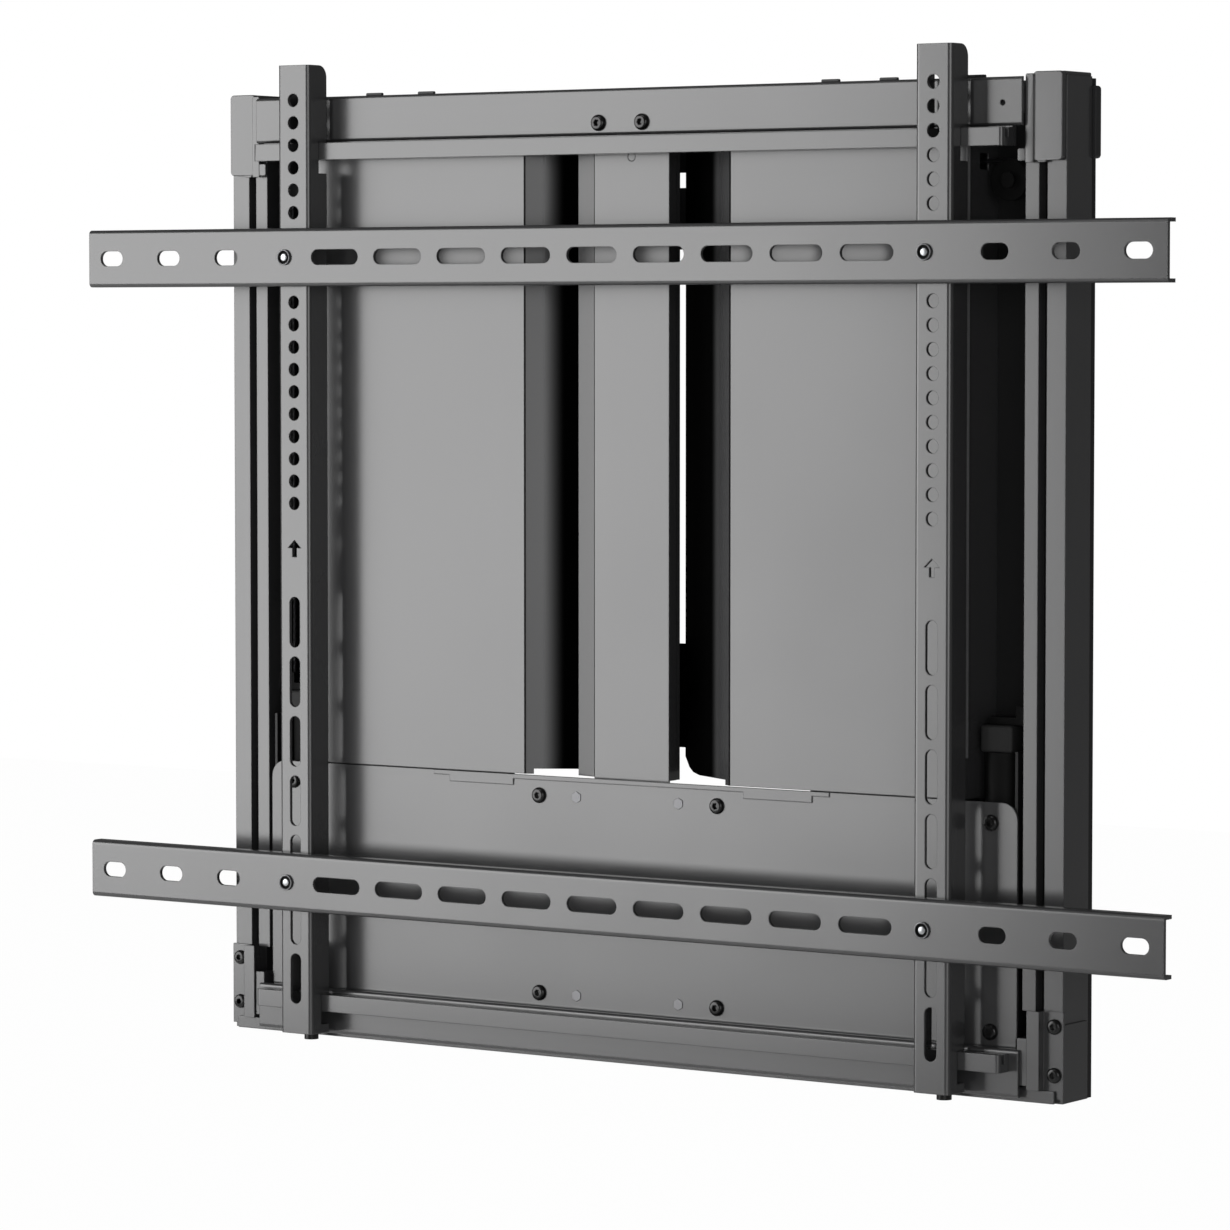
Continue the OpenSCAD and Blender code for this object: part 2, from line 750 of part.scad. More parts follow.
// Fixed axles of the upper pulleys and the cable anchors, riveted to the wall plate
anchor_z = pulley_z - 9;
anchor_r = 4;
module pulley_axles() {
  color(dark)
    for (s = [-1, 1]) side(s) for (x = [outer_x, inner_x]) {
      pin_y(x, pulley_z, 3, sheet, works_depth + 5);
      pin_y(x, pulley_z, 6, sheet, works_depth - pulley_half - gap);
      pin_y(x, pulley_z, 5, works_depth + pulley_half + gap, works_depth + 6);
    }
  color(dark)
    for (s = [-1, 1]) side(s)
      pin_y(pull_x - pulley_r, anchor_z + anchor_r, anchor_r, sheet, works_depth + 4);
}

// Lifting cable: strand from the slide up to the outer pulley
lug_top = buffer_top + 12;
module cable_z(x, z0, z1) {
  translate([x, -works_depth, z0]) cylinder(r = cable_r, h = z1 - z0, $fn = 24);
}
module lift_cable_left() {
  color(silver) side(-1) cable_z(lift_x, lug_top, pulley_z);
}
module lift_cable_right() {
  color(silver) side(1) cable_z(lift_x, lug_top, pulley_z);
}

// Level strand with its quarter turns over the two upper pulleys
module quarter_turn(x, z, a) {
  translate([x, -works_depth, z]) rotate([90, 0, 0])
    rotate([0, 0, a]) rotate_extrude(angle = 90) translate([pulley_r, 0]) circle(cable_r, $fn = 24);
}
module top_cable() {
  quarter_turn(outer_x, pulley_z, 0);
  quarter_turn(inner_x, pulley_z, 90);
  translate([inner_x, -works_depth, pulley_z + pulley_r]) rotate([0, 90, 0])
    cylinder(r = cable_r, h = outer_x - inner_x, $fn = 24);
}
module top_cable_left() {
  color(silver) side(-1) top_cable();
}
module top_cable_right() {
  color(silver) side(1) top_cable();
}

// Strands between the upper pulley, the pull block and the fixed cable anchor
module pull_cable() {
  cable_z(pull_x + pulley_r, pull_z, pulley_z);
  cable_z(pull_x - pulley_r, pull_z, anchor_z);
  quarter_turn(pull_x, pull_z, 180);
  quarter_turn(pull_x, pull_z, 270);
}
module pull_cable_left() {
  color(silver) side(-1) pull_cable();
}
module pull_cable_right() {
  color(silver) side(1) pull_cable();
}

// Slide profile of the carriage with its stop and cable lug
slide_back = sheet + upright_wall + gap;
slide_low = low_channel_z + 7;
slide_foot = corner_high - 1;
slide_wall = 2.2;
arm_back = works_depth;
arm_top = plate_row_low - 1.5;
module slide() {
  difference() {
    box(slide_in, slide_out, slide_back, upright_depth, slide_foot, carriage_top);
    box(
      slide_in + slide_wall, slide_out - slide_wall, slide_back - 1, upright_depth - slide_wall,
      slide_foot - 1, carriage_top + 1
    );
  }
  box(slide_in, slide_in + slide_wall, slide_back, arm_back + eps, slide_low, slide_foot + eps);
  box(
    slide_in, slide_out - 2.5, arm_back, channel_depth - channel_sheet, low_channel_z + 8, arm_top
  );
  box(post_x - 8, slide_in + eps, works_depth - 6, works_depth + 6, buffer_top + gap, buffer_top + 5);
  box(lift_x - 4, slide_in + eps, works_depth - 6, works_depth + 6, buffer_top + gap, lug_top);
  box(
    slide_in, channel_half, upright_depth - eps, channel_depth - channel_sheet,
    carriage_top - channel_h + 8, carriage_top - 4
  );
}
module slide_left() {
  color(coat) side(-1) slide();
}
module slide_right() {
  color(coat) side(1) slide();
}

// Cross channel of the carriage: face with folded edges
channel_bend = (channel_depth - channel_back) / 2 - 0.2;
module cross_channel(z) {
  difference() {
    translate([0, -channel_depth, z + channel_h / 2]) rotate([0, -90, 0])
      linear_extrude(2 * channel_half, center = true)
        channel_outline(channel_h, channel_depth - channel_back, channel_sheet, channel_bend);
    for (s = [-1, 1]) side(s)
      box(
        slide_in - 0.2, channel_half + 1, channel_back - 1, channel_depth - channel_sheet, z - 1,
        z + channel_h + 1
      );
  }
}
screw_x = 17;
screw_z = carriage_top - 22.2;
rivet_x = channel_half - 13.6;
rivet_z = carriage_top - 16;
module top_channel() {
  color(coat) difference() {
    cross_channel(carriage_top - channel_h);
    for (s = [-1, 1]) pin_y(s * screw_x, screw_z, 2.5, channel_back, channel_depth + 1);
    pin_y(rivet_x, rivet_z, 1.8, channel_back, channel_depth + 1);
  }
}
module low_channel() {
  color(coat) cross_channel(low_channel_z);
}

// Hook bar with the groove that takes the bracket teeth
tooth_d = channel_depth + 5;
module hook_bar(z, seat_top) {
  difference() {
    union() {
      box(-bar_half, bar_half, channel_depth, channel_depth + bar_d, z, z + bar_h);
      if (seat_top > z) box(-bar_half, bar_half, channel_back, channel_depth + eps, z, seat_top);
    }
    box(-bar_half - 1, bar_half + 1, tooth_d, tooth_d + groove_w, z + bar_h - groove_h, z + bar_h + 1);
  }
}
module top_bar() {
  color(coat) hook_bar(bar_top_z, carriage_top - channel_h);
}
module low_bar() {
  color(coat) hook_bar(bar_low_z, bar_low_z);
}

// Two button screws in the middle of the upper channel
module channel_screws() {
  color(black) for (s = [-1, 1])
    button_screw(s * screw_x, screw_z, channel_depth, 5.4, 2.8, 2.45, 4, 2.1);
}

// Plugs on the upper edge of the upper channel
plug_x = [158.5, 201.6, 265];
module channel_plugs() {
  color(black) for (s = [-1, 1], x = plug_x)
    translate([s * x, -channel_depth + 2.5, carriage_top]) translate([-6.5, 0, 0]) cube([13, 2.3, 2.6]);
}

// Vertical bracket: channel with holes, hooking notches and lock thread
bracket_half = bracket_w / 2;
bracket_back = bracket_depth - bracket_flange;
bar_front = channel_depth + bar_d;
lock_depth = channel_depth + bar_d / 2;
lock_r = 2.5;
ear_r = 8;
hook_room = 9;
module bracket_hook(z) {
  difference() {
    box(
      -bracket_half - 1, bracket_half + 1, bracket_back - 1, bar_front + gap, z - hook_room,
      z + bar_h + gap
    );
    box(
      -bracket_half - 2, bracket_half + 2, tooth_d + gap, tooth_d + groove_w - gap,
      z + bar_h - groove_h + 1, z + bar_h + gap + 1
    );
  }
}
module bracket_arrow() {
  rotate([90, 0, 0]) linear_extrude(20, center = true)
    polygon([[0, 6], [5.6, 0.6], [1.9, 0.6], [1.9, -5.5], [-1.9, -5.5], [-1.9, 0.6], [-5.6, 0.6]]);
}
module bracket() {
  difference() {
    union() {
      translate([0, -bracket_depth, bracket_bottom]) linear_extrude(bracket_top - bracket_bottom)
        channel_outline(bracket_w, bracket_flange, frame_sheet, bend_r);
      box(
        -bracket_half + 1, bracket_half - 1, bracket_back + 2, bracket_depth - 1, bracket_bottom,
        bar_low_z - hook_room
      );
    }
    box(
      -bracket_half - 1, -bracket_half + frame_sheet + 1, bracket_back - 1, bracket_depth - bracket_lip,
      bracket_bottom + left_wall_low, bracket_top - left_wall_top
    );
    bracket_hook(bar_top_z);
    bracket_hook(bar_low_z);
    for (k = [0 : hole_count - 1])
      pin_y(0, hole_top - k * hole_pitch, hole_dia / 2, bracket_depth - 6, bracket_depth + 1);
    for (k = [0 : long_count - 1])
      slot_y(
        0, bracket_bottom + long_margin + k * long_pitch, long_len, hole_dia, bracket_depth - 6,
        bracket_depth + 1, true
      );
    translate([0, -bracket_depth, 14.4]) bracket_arrow();
    difference() {
      box(
        -bracket_w, bracket_w, bracket_back - 1, bracket_back + ear_r, bracket_top - ear_r,
        bracket_top + 1
      );
      translate([-bracket_w - 1, -bracket_back - ear_r, bracket_top - ear_r]) rotate([0, 90, 0])
        cylinder(r = ear_r, h = 2 * bracket_w + 2);
    }
    translate([0, -lock_depth, bracket_bottom - 1]) cylinder(r = lock_r + run, h = 20);
    for (z = [-1, 1]) pin_y(0, z * rail_pitch / 2, 3.1, bracket_depth - 6, bracket_depth + 1);
  }
}
module bracket_left() {
  color(coat) translate([-bracket_pitch / 2, 0, 0]) bracket();
}
module bracket_right() {
  color(coat) translate([bracket_pitch / 2, 0, 0]) bracket();
}

// Horizontal rail with its slots for the screen bolts
rail_front = bracket_depth + rail_d + gap;
module rail(z) {
  difference() {
    translate([0, -rail_front, z]) rotate([0, -90, 0]) linear_extrude(rail_len, center = true)
      channel_outline(rail_h, rail_d, frame_sheet, bend_r);
    for (s = [-1, 1], k = [0 : 2])
      slot_y(
        s * (end_slot_far - k * end_slot_pitch), z, end_slot_len, rail_slot_w, rail_front - 6,
        rail_front + 1
      );
    for (k = [-4 : 4])
      slot_y(k * mid_slot_pitch, z, mid_slot_len, rail_slot_w, rail_front - 6, rail_front + 1);
    for (s = [-1, 1])
      pin_y(s * bracket_pitch / 2, z, 3.1, rail_front - 6, rail_front + 1);
  }
}
module top_rail() {
  color(coat) rail(rail_pitch / 2);
}
module low_rail() {
  color(coat) rail(-rail_pitch / 2);
}

// Socket screws with spacers that join the rails to the brackets
module rail_screws() {
  color(silver)
    for (s = [-1, 1], z = [-1, 1]) difference() {
      union() {
        pin_y(s * bracket_pitch / 2, z * rail_pitch / 2, 3, bracket_depth - 5, rail_front + 1);
        pin_y(s * bracket_pitch / 2, z * rail_pitch / 2, 7, bracket_depth, rail_front - frame_sheet);
        pin_y(s * bracket_pitch / 2, z * rail_pitch / 2, 5.3, rail_front, rail_front + 1.6);
      }
      difference() {
        pin_y(s * bracket_pitch / 2, z * rail_pitch / 2, 4.1, rail_front + 0.4, rail_front + 3);
        pin_y(s * bracket_pitch / 2, z * rail_pitch / 2, 2.9, rail_front + 0.3, rail_front + 3);
      }
    }
}

// Locking screw under each bracket
lock_tip = bar_low_z - gap;
module lock_screw() {
  difference() {
    union() {
      translate([0, -lock_depth, bracket_bottom - gap])
        cylinder(r = lock_r, h = lock_tip - bracket_bottom + gap);
      translate([0, -lock_depth, bracket_bottom - 5.3]) cylinder(r = 4.8, h = 5);
    }
    translate([0, -lock_depth, bracket_bottom - 6]) cylinder(r = 2, h = 4, $fn = 6);
  }
}
module lock_screw_left() {
  color(black) translate([-bracket_pitch / 2, 0, 0]) lock_screw();
}
module lock_screw_right() {
  color(black) translate([bracket_pitch / 2, 0, 0]) lock_screw();
}

back_plate();
upright_left();
upright_right();
glide_left();
glide_right();
cover_left();
cover_right();
column_cover();
lower_plate();
clinch_nuts();
plate_screws();
corner_bracket_left();
corner_bracket_right();
corner_screws();
top_cap_left();
top_cap_right();
wall_hook_ends();
side_bracket_left();
side_bracket_right();
stop_post_left();
stop_post_right();
buffer_left();
buffer_right();
spindle_beam();
spindle_foot();
spindle();
crosshead();
springs_left();
springs_right();
pull_block_left();
pull_block_right();
outer_pulley_left();
outer_pulley_right();
inner_pulley_left();
inner_pulley_right();
pull_pulley_left();
pull_pulley_right();
pulley_axles();
lift_cable_left();
lift_cable_right();
top_cable_left();
top_cable_right();
pull_cable_left();
pull_cable_right();
slide_left();
slide_right();
top_channel();
top_bar();
low_channel();
low_bar();
channel_screws();
channel_plugs();
bracket_left();
bracket_right();
top_rail();
low_rail();
rail_screws();
lock_screw_left();
lock_screw_right();
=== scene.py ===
import json
import math

import bmesh
import bpy
from bpy.props import FloatProperty, FloatVectorProperty, IntProperty, PointerProperty
from mathutils import Matrix, Vector


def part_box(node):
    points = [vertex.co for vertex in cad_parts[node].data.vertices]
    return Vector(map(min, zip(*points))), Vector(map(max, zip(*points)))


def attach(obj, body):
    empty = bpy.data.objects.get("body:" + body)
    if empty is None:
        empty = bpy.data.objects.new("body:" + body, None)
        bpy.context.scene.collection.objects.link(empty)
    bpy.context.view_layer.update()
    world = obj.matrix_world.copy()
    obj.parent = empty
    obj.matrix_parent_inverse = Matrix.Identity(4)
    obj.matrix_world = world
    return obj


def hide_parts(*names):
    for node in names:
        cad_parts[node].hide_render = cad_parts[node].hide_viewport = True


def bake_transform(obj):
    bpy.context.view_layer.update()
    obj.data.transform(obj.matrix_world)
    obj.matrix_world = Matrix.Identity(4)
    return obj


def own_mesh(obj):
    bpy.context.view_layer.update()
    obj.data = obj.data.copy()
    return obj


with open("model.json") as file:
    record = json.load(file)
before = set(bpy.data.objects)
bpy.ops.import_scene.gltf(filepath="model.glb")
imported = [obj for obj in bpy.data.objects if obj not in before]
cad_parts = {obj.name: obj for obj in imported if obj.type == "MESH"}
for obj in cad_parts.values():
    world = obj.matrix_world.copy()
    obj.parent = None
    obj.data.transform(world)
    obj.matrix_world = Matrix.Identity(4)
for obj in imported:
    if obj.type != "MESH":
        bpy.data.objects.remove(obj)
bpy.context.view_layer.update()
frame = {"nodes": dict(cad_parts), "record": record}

bl_info = {
    "name": "Height adjustable screen wall lift",
    "version": (1, 0, 0),
    "blender": (4, 5, 0),
    "location": "3D View > Sidebar > Wall lift",
    "description": "Finish, fasteners and studio for the height adjustable screen wall lift",
    "category": "Object",
}

MM = 0.001
NEAR = 1e-6                     # points nearer than this count as one
UP = Vector((0, 0, 1))
FRONT = Vector((0, -1, 0))      # from the wall towards the screen
SHARP_ANGLE = math.radians(35)  # edges steeper than this stay sharp
TURN_STEPS = 16                 # steps in one turn of a spring or thread
WIRE_SIDES = 7
BUTTON_HEIGHT = 0.5             # of a button head, as a share of its radius
ALL_CORNERS = ((1, 1), (1, -1), (-1, 1), (-1, -1))
TOP_CORNERS = ((1, 1), (-1, 1))


# Sizes and colours that a user would change

class WallLiftStage(bpy.types.PropertyGroup):
    """Camera, lamps and floor"""
    azimuth: FloatProperty(
        name="Camera azimuth", description="Angle of the camera round the lift, to its right",
        default=math.radians(34.532), subtype="ANGLE")
    pitch: FloatProperty(
        name="Camera height angle", description="Angle of the camera above the horizon",
        default=math.radians(3.153), subtype="ANGLE")
    distance: FloatProperty(
        name="Camera distance", description="From the camera to the point that it looks at",
        default=3.43387, unit="LENGTH")
    aim: FloatVectorProperty(
        name="Aim", description="Point that the camera looks at",
        default=(0.018602, -0.08, -0.021281), subtype="TRANSLATION")
    lens: FloatProperty(
        name="Lens", description="Focal length of the camera in millimetres", default=156.3)
    key_level: FloatProperty(
        name="Key lamp", description="Brightness of the large soft lamp at the left", default=4.7)
    fill_level: FloatProperty(
        name="Fill lamp", description="Brightness of the wide lamp behind the camera", default=2.4)
    top_level: FloatProperty(
        name="Top lamp", description="Brightness of the lamp above", default=1.5)
    ambient: FloatProperty(
        name="Ambient", description="Light of the studio all round", default=0.2)
    shine: FloatProperty(
        name="Shine", description="Brightness of the studio in reflections", default=0.12)
    floor_drop: FloatProperty(
        name="Floor", description="Distance of the floor below the lift", default=0.8, unit="LENGTH")


class WallLiftWorks(bpy.types.PropertyGroup):
    """Folds of the covers, wire and turns of the springs, and thread of the spindle"""
    cover_fold: FloatProperty(
        name="Cover fold", description="Distance of a cover's inner fold from the middle",
        default=0.0808, unit="LENGTH")
    cover_edge: FloatProperty(
        name="Cover edge", description="Reach of a cover's outer edge beyond its face",
        default=0.0022, unit="LENGTH")
    # half width of each painted shade line along a fold
    seam: FloatProperty(
        name="Seam", description="Half width of a fold seam", default=0.0006, unit="LENGTH")
    wire: FloatProperty(
        name="Spring wire", description="Radius of the spring wire", default=0.0014, unit="LENGTH")
    spring_turns: IntProperty(
        name="Spring turns", description="Turns of each balance spring", default=22)
    foot_turns: IntProperty(
        name="Foot turns", description="Turns of a spring that follow the crosshead", default=3)
    thread_pitch: FloatProperty(
        name="Thread pitch", description="Pitch of the spindle thread", default=0.004, unit="LENGTH")


class WallLiftFinish(bpy.types.PropertyGroup):
    """Colours of the finishes"""
    coat: FloatVectorProperty(
        name="Powder coat", description="Colour of the outer powder coat",
        default=(0.034, 0.034, 0.035), subtype="COLOR", min=0, max=1)
    coat_rough: FloatProperty(
        name="Coat roughness", description="Roughness of the powder coat", default=0.235)
    # painted shade: near-black colour that the covers' flanks take next to the column, where shade falls
    recess: FloatVectorProperty(
        name="Recess", description="Colour deep in the recess between the covers and the column",
        default=(0.001, 0.001, 0.001), subtype="COLOR", min=0, max=1)
    inner: FloatVectorProperty(
        name="Inner coat", description="Colour of the inner steel pieces",
        default=(0.008, 0.008, 0.0085), subtype="COLOR", min=0, max=1)
    plastic: FloatVectorProperty(
        name="Plastic", description="Colour of the moulded plastic pieces",
        default=(0.02, 0.02, 0.021), subtype="COLOR", min=0, max=1)
    screw: FloatVectorProperty(
        name="Black screws", description="Colour of the black screws",
        default=(0.005, 0.005, 0.005), subtype="COLOR", min=0, max=1)
    # painted shade: colour of the dark lines along the folds; the cups of the rail screws take it too
    seam: FloatVectorProperty(
        name="Seam black", description="Colour of the fold seams and the cups of the rail screws",
        default=(0.003, 0.003, 0.003), subtype="COLOR", min=0, max=1)
    # partly own colour, partly painted shade: near black for the pulleys and stop posts, deeper than their own
    # black, and for the slides' back faces
    works: FloatVectorProperty(
        name="Works black", description="Colour of the pulleys, stop posts and slide insides",
        default=(0.005, 0.005, 0.005), subtype="COLOR", min=0, max=1)
    steel: FloatVectorProperty(
        name="Bright steel", description="Colour of the zinc plated pieces",
        default=(0.55, 0.56, 0.57), subtype="COLOR", min=0, max=1)
    rope: FloatVectorProperty(
        name="Wire rope", description="Colour of the wire ropes",
        default=(0.04, 0.04, 0.042), subtype="COLOR", min=0, max=1)
    pin: FloatVectorProperty(
        name="Pin steel", description="Colour of the bright middles of the rail screws",
        default=(0.4, 0.41, 0.42), subtype="COLOR", min=0, max=1)
    zinc: FloatVectorProperty(
        name="Dull zinc", description="Colour of the clinch nuts and rail screws",
        default=(0.16, 0.16, 0.165), subtype="COLOR", min=0, max=1)
    rubber: FloatVectorProperty(
        name="Rubber", description="Colour of the stop buffers",
        default=(0.02, 0.02, 0.02), subtype="COLOR", min=0, max=1)
    edge_round: FloatProperty(
        name="Edge rounding", description="Radius that the light shows on folds and cut edges",
        default=0.0007, unit="LENGTH")


# Node helpers: each add_ function gives the output of the node that it adds

def feed(tree, source, socket):
    """Links a socket to another node's output, or gives it a plain value."""
    if isinstance(source, bpy.types.NodeSocket):
        tree.links.new(source, socket)
    else:
        socket.default_value = source


def add_math(tree, operation, *sources):
    """A Math node."""
    node = tree.nodes.new("ShaderNodeMath")
    node.operation = operation
    for source, socket in zip(sources, node.inputs):
        feed(tree, source, socket)
    return node.outputs[0]


def add_mix(tree, kind, factor, first, second):
    """A Mix node for numbers (FLOAT) or colours (RGBA), whose sockets stand at different places."""
    node = tree.nodes.new("ShaderNodeMix")
    node.data_type = kind
    first_place, second_place, result_place = {"FLOAT": (2, 3, 0), "RGBA": (6, 7, 2)}[kind]
    feed(tree, factor, node.inputs[0])
    feed(tree, first, node.inputs[first_place])
    feed(tree, second, node.inputs[second_place])
    return node.outputs[result_place]


def add_noise(tree, vector, scale, detail):
    """A Noise Texture node."""
    node = tree.nodes.new("ShaderNodeTexNoise")
    for label, source in (("Vector", vector), ("Scale", scale), ("Detail", detail)):
        feed(tree, source, node.inputs[label])
    return node.outputs["Fac"]


def add_range(tree, value, from_min=0.0, from_max=1.0, to_min=0.0, to_max=1.0, interpolation="SMOOTHSTEP"):
    """A Map Range node."""
    node = tree.nodes.new("ShaderNodeMapRange")
    node.interpolation_type = interpolation
    for label, source in (("Value", value), ("From Min", from_min), ("From Max", from_max),
                          ("To Min", to_min), ("To Max", to_max)):
        feed(tree, source, node.inputs[label])
    return node.outputs["Result"]


def object_place(tree):
    """Object coordinates, so that a pattern moves with its piece."""
    return tree.nodes.new("ShaderNodeTexCoord").outputs["Object"]


# Node groups that several finishes share

def new_group(name, inputs, outputs):
    """A shader node group, with the sockets that feed it and those of its result."""
    group = bpy.data.node_groups.new(name, "ShaderNodeTree")
    for label, kind, value in inputs:
        socket = group.interface.new_socket(name=label, in_out="INPUT", socket_type=kind)
        socket.default_value = value
    for label, kind in outputs:
        group.interface.new_socket(name=label, in_out="OUTPUT", socket_type=kind)
    return group, group.nodes.new("NodeGroupInput").outputs, group.nodes.new("NodeGroupOutput").inputs


def orange_peel_group():
    """Fine height of a sprayed or moulded skin: soft waves with a small grain on top."""
    group, given, result = new_group(
        "orange_peel",
        [("Wave scale", "NodeSocketFloat", 260.0), ("Grain scale", "NodeSocketFloat", 1500.0),
         ("Grain share", "NodeSocketFloat", 0.35)],
        [("Height", "NodeSocketFloat")])
    place = object_place(group)
    wave = add_noise(group, place, given["Wave scale"], detail=2.0)
    grain = add_noise(group, place, given["Grain scale"], detail=1.0)
    feed(group, add_mix(group, "FLOAT", given["Grain share"], wave, grain), result["Height"])


def handling_group():
    """Slow change of a colour and its roughness, as from handling, dust and uneven spray."""
    group, given, result = new_group(
        "handling",
        [("Colour", "NodeSocketColor", (0.1, 0.1, 0.1, 1)), ("Change", "NodeSocketFloat", 0.12),
         ("Roughness", "NodeSocketFloat", 0.4), ("Roughness change", "NodeSocketFloat", 0.06),
         ("Scale", "NodeSocketFloat", 9.0)],
        [("Colour", "NodeSocketColor"), ("Roughness", "NodeSocketFloat")])
    noise = add_noise(group, object_place(group), given["Scale"], detail=4.0)
    level = add_range(group, noise, from_min=0.15, from_max=0.85, to_min=-1.0, to_max=1.0)
    gain = add_math(group, "MULTIPLY_ADD", level, given["Change"], 1.0)
    varied = group.nodes.new("ShaderNodeVectorMath")
    varied.operation = "SCALE"
    feed(group, given["Colour"], varied.inputs[0])
    feed(group, gain, varied.inputs["Scale"])
    rough = add_math(group, "MULTIPLY_ADD", level, given["Roughness change"], given["Roughness"])
    feed(group, varied.outputs[0], result["Colour"])
    feed(group, rough, result["Roughness"])


def painted_shade_group():
    """Mask of the painted shade on the covers' flanks next to the column, from a point's distance to the
    middle: 0 to 1.
    """
    group, given, result = new_group(
        "recess",
        [("Open", "NodeSocketFloat", 0.0715), ("Deep", "NodeSocketFloat", 0.0575)],
        [("Mask", "NodeSocketFloat")])
    parts = group.nodes.new("ShaderNodeSeparateXYZ")
    feed(group, object_place(group), parts.inputs[0])
    reach = add_math(group, "ABSOLUTE", parts.outputs["X"])
    feed(group, add_range(group, reach, from_min=given["Open"], from_max=given["Deep"]), result["Mask"])


def brush_group():
    """Height of the fine upright lines of drawn or turned steel."""
    group, given, result = new_group(
        "brush_lines",
        [("Across", "NodeSocketFloat", 2600.0), ("Along", "NodeSocketFloat", 30.0)],
        [("Height", "NodeSocketFloat")])
    scales = group.nodes.new("ShaderNodeCombineXYZ")
    for axis, label in (("X", "Across"), ("Y", "Across"), ("Z", "Along")):
        feed(group, given[label], scales.inputs[axis])
    stretched = group.nodes.new("ShaderNodeVectorMath")
    stretched.operation = "MULTIPLY"
    feed(group, object_place(group), stretched.inputs[0])
    feed(group, scales.outputs[0], stretched.inputs[1])
    feed(group, add_noise(group, stretched.outputs[0], scale=1.0, detail=2.0), result["Height"])


def group_node(tree, name, **values):
    """Places a shared group in a material, with its own input values."""
    node = tree.nodes.new("ShaderNodeGroup")
    node.node_tree = bpy.data.node_groups[name]
    for label, value in values.items():
        node.inputs[label.replace("_", " ")].default_value = value
    return node


def finish_material(name, colour, change, roughness, roughness_change, metallic=0.0, specular=0.5,
                    bump="orange_peel", bump_depth=0.00002, bump_strength=0.5, rounding=0.0006,
                    **bump_values):
    """A procedural finish: varied colour and roughness, rounded edges and a fine bump."""
    material = bpy.data.materials.new(name + "_finish")
    material.use_nodes = True
    tree = material.node_tree
    shader = tree.nodes["Principled BSDF"]
    shader.inputs["Metallic"].default_value = metallic
    shader.inputs["Specular IOR Level"].default_value = specular
    vary = group_node(tree, "handling", Colour=(*colour, 1), Change=change, Roughness=roughness,
                      Roughness_change=roughness_change)
    feed(tree, vary.outputs["Colour"], shader.inputs["Base Color"])
    feed(tree, vary.outputs["Roughness"], shader.inputs["Roughness"])
    height = group_node(tree, bump, **bump_values)
    relief = tree.nodes.new("ShaderNodeBump")
    relief.inputs["Strength"].default_value = bump_strength
    relief.inputs["Distance"].default_value = bump_depth
    feed(tree, height.outputs["Height"], relief.inputs["Height"])
    edges = tree.nodes.new("ShaderNodeBevel")
    edges.samples = 4
    edges.inputs["Radius"].default_value = rounding
    feed(tree, edges.outputs["Normal"], relief.inputs["Normal"])
    feed(tree, relief.outputs["Normal"], shader.inputs["Normal"])
    return material


def add_painted_shade(material, colour, roughness):
    """Paints shade into a finish: dark, rough and without shine where the mask of painted shade rises."""
    tree = material.node_tree
    shader = tree.nodes["Principled BSDF"]
    mask = group_node(tree, "recess").outputs["Mask"]
    feed(tree, mask, shader.inputs["Metallic"])
    for label, kind, deep in (("Base Color", "RGBA", (*colour, 1)), ("Roughness", "FLOAT", roughness)):
        socket = shader.inputs[label]
        feed(tree, add_mix(tree, kind, mask, socket.links[0].from_socket, deep), socket)


# Mesh helpers

def piece_from(bm, name, body, slot, finish=None, replaced=(), flat_faces=False):
    """Makes a piece of a bmesh. It rides on body unless that is None, and finish is its slot's if not given."""
    bmesh.ops.recalc_face_normals(bm, faces=bm.faces)
    mesh = bpy.data.meshes.new(name)
    bm.to_mesh(mesh)
    bm.free()
    for polygon in mesh.polygons:
        polygon.use_smooth = True
    mesh.set_sharp_from_angle(angle=SHARP_ANGLE)
    mesh.materials.append(bpy.data.materials[(finish or slot) + "_finish"])
    piece = bpy.data.objects.new(name, mesh)
    bpy.context.scene.collection.objects.link(piece)
    if flat_faces:
        even = piece.modifiers.new("flat_faces", "WEIGHTED_NORMAL")
        even.keep_sharp = True
    if body:
        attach(piece, body)
    if replaced:
        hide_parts(*replaced)
    return piece


def put_in(bm, part):
    """Adds one bmesh to another and frees it."""
    mesh = bpy.data.meshes.new("part")
    part.to_mesh(mesh)
    part.free()
    bm.from_mesh(mesh)
    bpy.data.meshes.remove(mesh)


def edges_of(verts):
    """Edges that meet at least one of these vertices, each once and in a fixed order."""
    return list(dict.fromkeys(edge for vert in verts for edge in vert.link_edges))


def ring_edges(ring):
    """Edges that join two of these vertices."""
    return [edge for edge in edges_of(ring) if all(vert in ring for vert in edge.verts)]


def verts_in(items):
    """Vertices among the items that an operator made."""
    return [item for item in items if isinstance(item, bmesh.types.BMVert)]


def round_edges(bm, edges, radius, segments=2):
    """Rounds edges, and gives what the bevel made."""
    return bmesh.ops.bevel(bm, geom=edges, offset=radius, offset_type="OFFSET", affect="EDGES",
                           segments=segments, profile=0.5, material=-1, clamp_overlap=True)


def add_box(bm, low, high, rounding=0.0, segments=2):
    """A box from its corners, with rounded edges if rounding is above 0."""
    low, high = Vector(low), Vector(high)
    verts = bmesh.ops.create_cube(bm, size=1.0)["verts"]
    bmesh.ops.scale(bm, vec=high - low, verts=verts)
    bmesh.ops.translate(bm, vec=(low + high) / 2, verts=verts)
    if rounding > 0:
        round_edges(bm, edges_of(verts), rounding, segments)
    return verts


